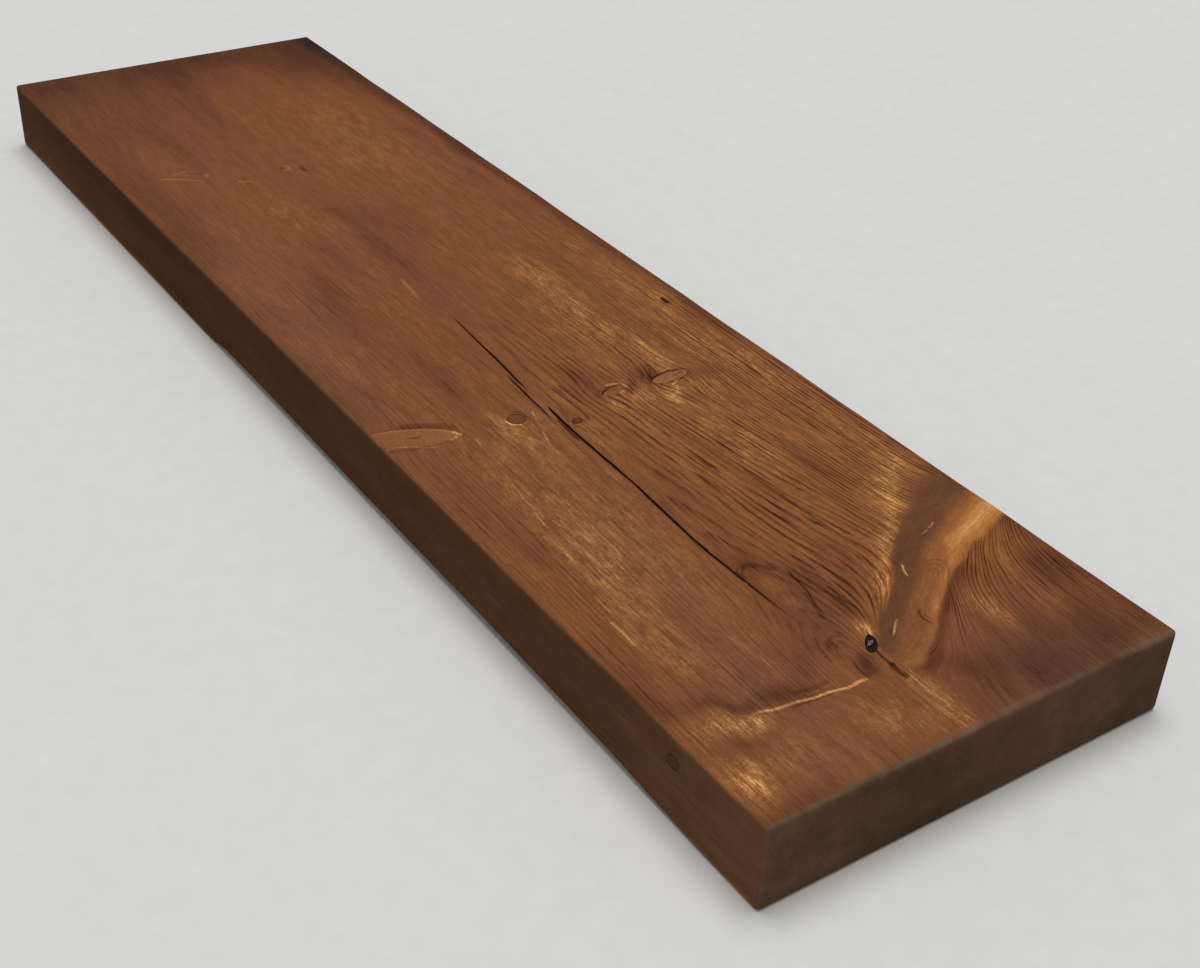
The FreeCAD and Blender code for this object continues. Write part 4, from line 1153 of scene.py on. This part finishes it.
def build_plug(side, letter, material, segments=48):
    """A nylon plug: ribbed round mouth, then two barbed legs with a slit between them."""
    node = f"wall_plug_{side}_{letter}"
    centre, low, high = middle(node)
    radius, eighth = (high.x - low.x) / 2, math.pi / 4
    angles = 2 * math.pi * np.arange(segments) / segments
    eight_sided = 0.5 / np.cos((angles + eighth / 2) % eighth - eighth / 2)
    legs, hole = PLUG_LEG_FLATS * eight_sided, PLUG_HOLE_FLATS * eight_sided

    def barb(y):
        turn = (y - PLUG_MOUTH) % BARB_PITCH
        fall = np.interp(turn, (0, BARB_PITCH / 2, BARB_PITCH - BARB_DEPTH, BARB_PITCH), (1, 0, 0, 1))
        return BARB_DEPTH * fall if PLUG_MOUTH + 2 < y < high.y - 2 else 0

    rows = [(y, [radius * size] * segments) for y, size in PLUG_COLLAR]
    leg_steps = np.arange(PLUG_MOUTH + 0.3, high.y - 0.5, 0.3)
    rows += [(y, legs, PLUG_LEG_FLATS / 2 - barb(y)) for y in leg_steps]
    rows += [(high.y - y, legs * size) for y, size in ((0.4, 1.0), (0.1, 0.96), (0, 0.9))]
    rows += [(y, hole * size) for y, size in ((high.y, 1.0), (high.y / 2, 1.0), (0.5, 1.0), (0, 1.1))]
    rows = [row_at(centre, low.y + y, *shape) for y, *shape in rows]
    plug = skin(f"plug_{side}_{letter}", rows, material, closed=True)
    ends = [four_corners(centre, y, radius * 1.3, PLUG_SLIT / 2) for y in (PLUG_MOUTH, high.y + 1)]
    cut(plug, skin("slit", ends, material, capped=True))
    place(plug, "wall_brackets", "plug_nylon", node)


def metal_material(name, colour, rough, tool_lines, welded=False):
    """Steel or zinc: fine tool lines, cloudy roughness, and heat colours about a weld."""
    g = surface(name, Metallic=1.0)
    where = g.place()
    tool = g.noise(where, tool_lines, 3.0, 0.65)
    cloud, spots = g.noise(where, 140), g.noise(where, 900, 2.0)
    plain = srgb(*colour)
    darker, lighter = ((*(min(1, c * share) for c in plain[:3]), 1) for share in (0.62, 1.25))
    level = cloud * 0.25 + tool * 0.16 + spots * 0.08 + 0.5
    base = g.ramp(level, (0, 0.55, 1), darker, plain, lighter)
    if welded:
        x, y, z = g.split(g.scaled(where, (1 / MM,) * 3))
        spacing = (middle("bracket_plate_right")[0].x - middle("bracket_plate_centre")[0].x) / MM
        x = g.math("WRAP", x, spacing / 2, -spacing / 2)
        away = g.math("SQRT", x * x + y * y * 2.5 + z * z) + cloud * 0.8
        heat = g.ramp(
            g.step(away, 12, 4.2), (0, 0.35, 0.6, 0.8, 1),
            colour, (168, 150, 124), (128, 108, 108), (98, 106, 128), (104, 106, 108),
        )
        base = g.mix(g.step(away, 12, 8) * 0.55, base, heat)
    return g.shade(
        Base_Color=base,
        Roughness=rough + cloud * 0.07 + tool * 0.05,
        Normal=g.bump(tool + spots * 0.4, 0.00004, 0.6),
    )


def nylon_material():
    g = surface("plug_nylon", IOR=1.53, Subsurface_Weight=0.08, Subsurface_Scale=0.002)
    where = g.place()
    clouds, grit = g.noise(where, (300, 90, 300), 3.0, 0.55), g.noise(where, 2500, 2.0, 0.5)
    greys = (150, 152, 152), (172, 174, 173), (190, 191, 188)
    return g.shade(
        Base_Color=g.ramp(clouds * 0.4 + 0.5, (0, 0.5, 1), *greys),
        Roughness=0.46 + clouds * 0.06 + grit * 0.03,
        Normal=g.bump(grit + clouds, 0.00003, 0.5),
    )


def build_brackets():
    plate_steel = metal_material("plate_steel", (150, 150, 150), 0.42, (200, 2600, 2600), True)
    rod_steel = metal_material("rod_steel", (178, 178, 176), 0.30, (300, 3200, 300), True)
    zinc = metal_material("fastener_zinc", (196, 198, 200), 0.27, 1400)
    nylon = nylon_material()
    for side in SIDES:
        build_plate(side, plate_steel)
        build_rod(side, rod_steel)
        for letter in LETTERS:
            build_washer(side, letter, zinc)
            build_screw(side, letter, zinc)
            build_plug(side, letter, nylon)


# Stage, light and camera

# The floor: its distance below the plank in millimetres, how far it reaches in metres, its colours.
FLOOR_GAP = 0.4
FLOOR_REACH = 7.0
FLOOR_COLOURS = ((0.66, 0.66, 0.655, 1), (0.70, 0.70, 0.695, 1))
# The camera, as it was worked out from the photograph's edges.
PHOTO_FOCAL_PIXELS, PHOTO_WIDTH_PIXELS = 1697.66, 1200
SENSOR_MM = 36
CAMERA_PLACE = (0.7507, -0.5392, 0.4699)
CAMERA_RIGHT = (0.55657, 0.8298, 0.04083)
CAMERA_DOWN = (0.47909, -0.28041, -0.83177)
# The world: colour and strength where it is seen, and where it only lights.
WORLD_SEEN = ((0.66, 0.66, 0.67, 1), 1.0)
WORLD_LIGHT = ((1.0, 0.99, 0.97, 1), 0.32)
# Soft lamps: name, where in the sky, how many degrees wide, and how strong.
LAMPS = (("key", (-0.25, 0.2, 2.5), 36, 1.98), ("fill", (1.6, -1.8, 1.7), 27, 0.18))


def build_stage():
    g = surface("pale_floor", Roughness=0.9, Specular_IOR_Level=0.1)
    speckle = g.noise(g.place(), 90, 2.0, 0.5)
    g.shade(Base_Color=g.ramp(speckle * 0.5 + 0.5, (0, 1), *FLOOR_COLOURS))
    z = BOARD_LOW.z - FLOOR_GAP * MM
    corners = [(i * FLOOR_REACH, k * FLOOR_REACH, z) for i, k in ((-1, -1), (1, -1), (1, 1), (-1, 1))]
    floor = mesh_object("floor", corners, [(0, 1, 2, 3)], g.owner)


def soft_light(name, where, width_degrees, level):
    """Even light from the side of the sky where it is, from a patch so many degrees wide."""
    lamp = bpy.data.lights.new(name, "SUN")
    lamp.angle, lamp.energy = math.radians(width_degrees), level
    holder = linked(name, lamp)
    holder.location = where
    holder.rotation_euler = (-Vector(where)).to_track_quat("-Z", "Y").to_euler()


def build_light():
    """A plain background for what looks at it straight or by a gloss, and dimmer light from it."""
    world = bpy.data.worlds.new("studio")
    bpy.context.scene.world = world
    g = Graph(world)
    rays = g.node("ShaderNodeLightPath").socket.node.outputs
    camera, glossy, through = (
        Field(g, rays[f"Is {kind} Ray"]) for kind in ("Camera", "Glossy", "Transmission")
    )
    light, seen = (g.node("ShaderNodeBackground", enumerate(world)) for world in (WORLD_LIGHT, WORLD_SEEN))
    straight = g.math("MAXIMUM", g.math("MAXIMUM", camera, glossy), through)
    g.end("ShaderNodeOutputWorld", g.node("ShaderNodeMixShader", {0: straight, 1: light, 2: seen}))
    for lamp in LAMPS:
        soft_light(*lamp)


def build_camera():
    data = bpy.data.cameras.new("camera")
    data.sensor_width = SENSOR_MM
    data.lens = SENSOR_MM * PHOTO_FOCAL_PIXELS / PHOTO_WIDTH_PIXELS
    camera = linked("camera", data)
    right, up = Vector(CAMERA_RIGHT).normalized(), -Vector(CAMERA_DOWN).normalized()
    turn = Matrix((right, up, right.cross(up))).transposed()
    camera.matrix_world = Matrix.Translation(CAMERA_PLACE) @ turn.to_4x4()
    bpy.context.scene.camera = camera


bpy.context.scene.view_settings.view_transform = "Standard"
build_stage()
build_light()
build_camera()
build_plank()
build_resin()
build_brackets()
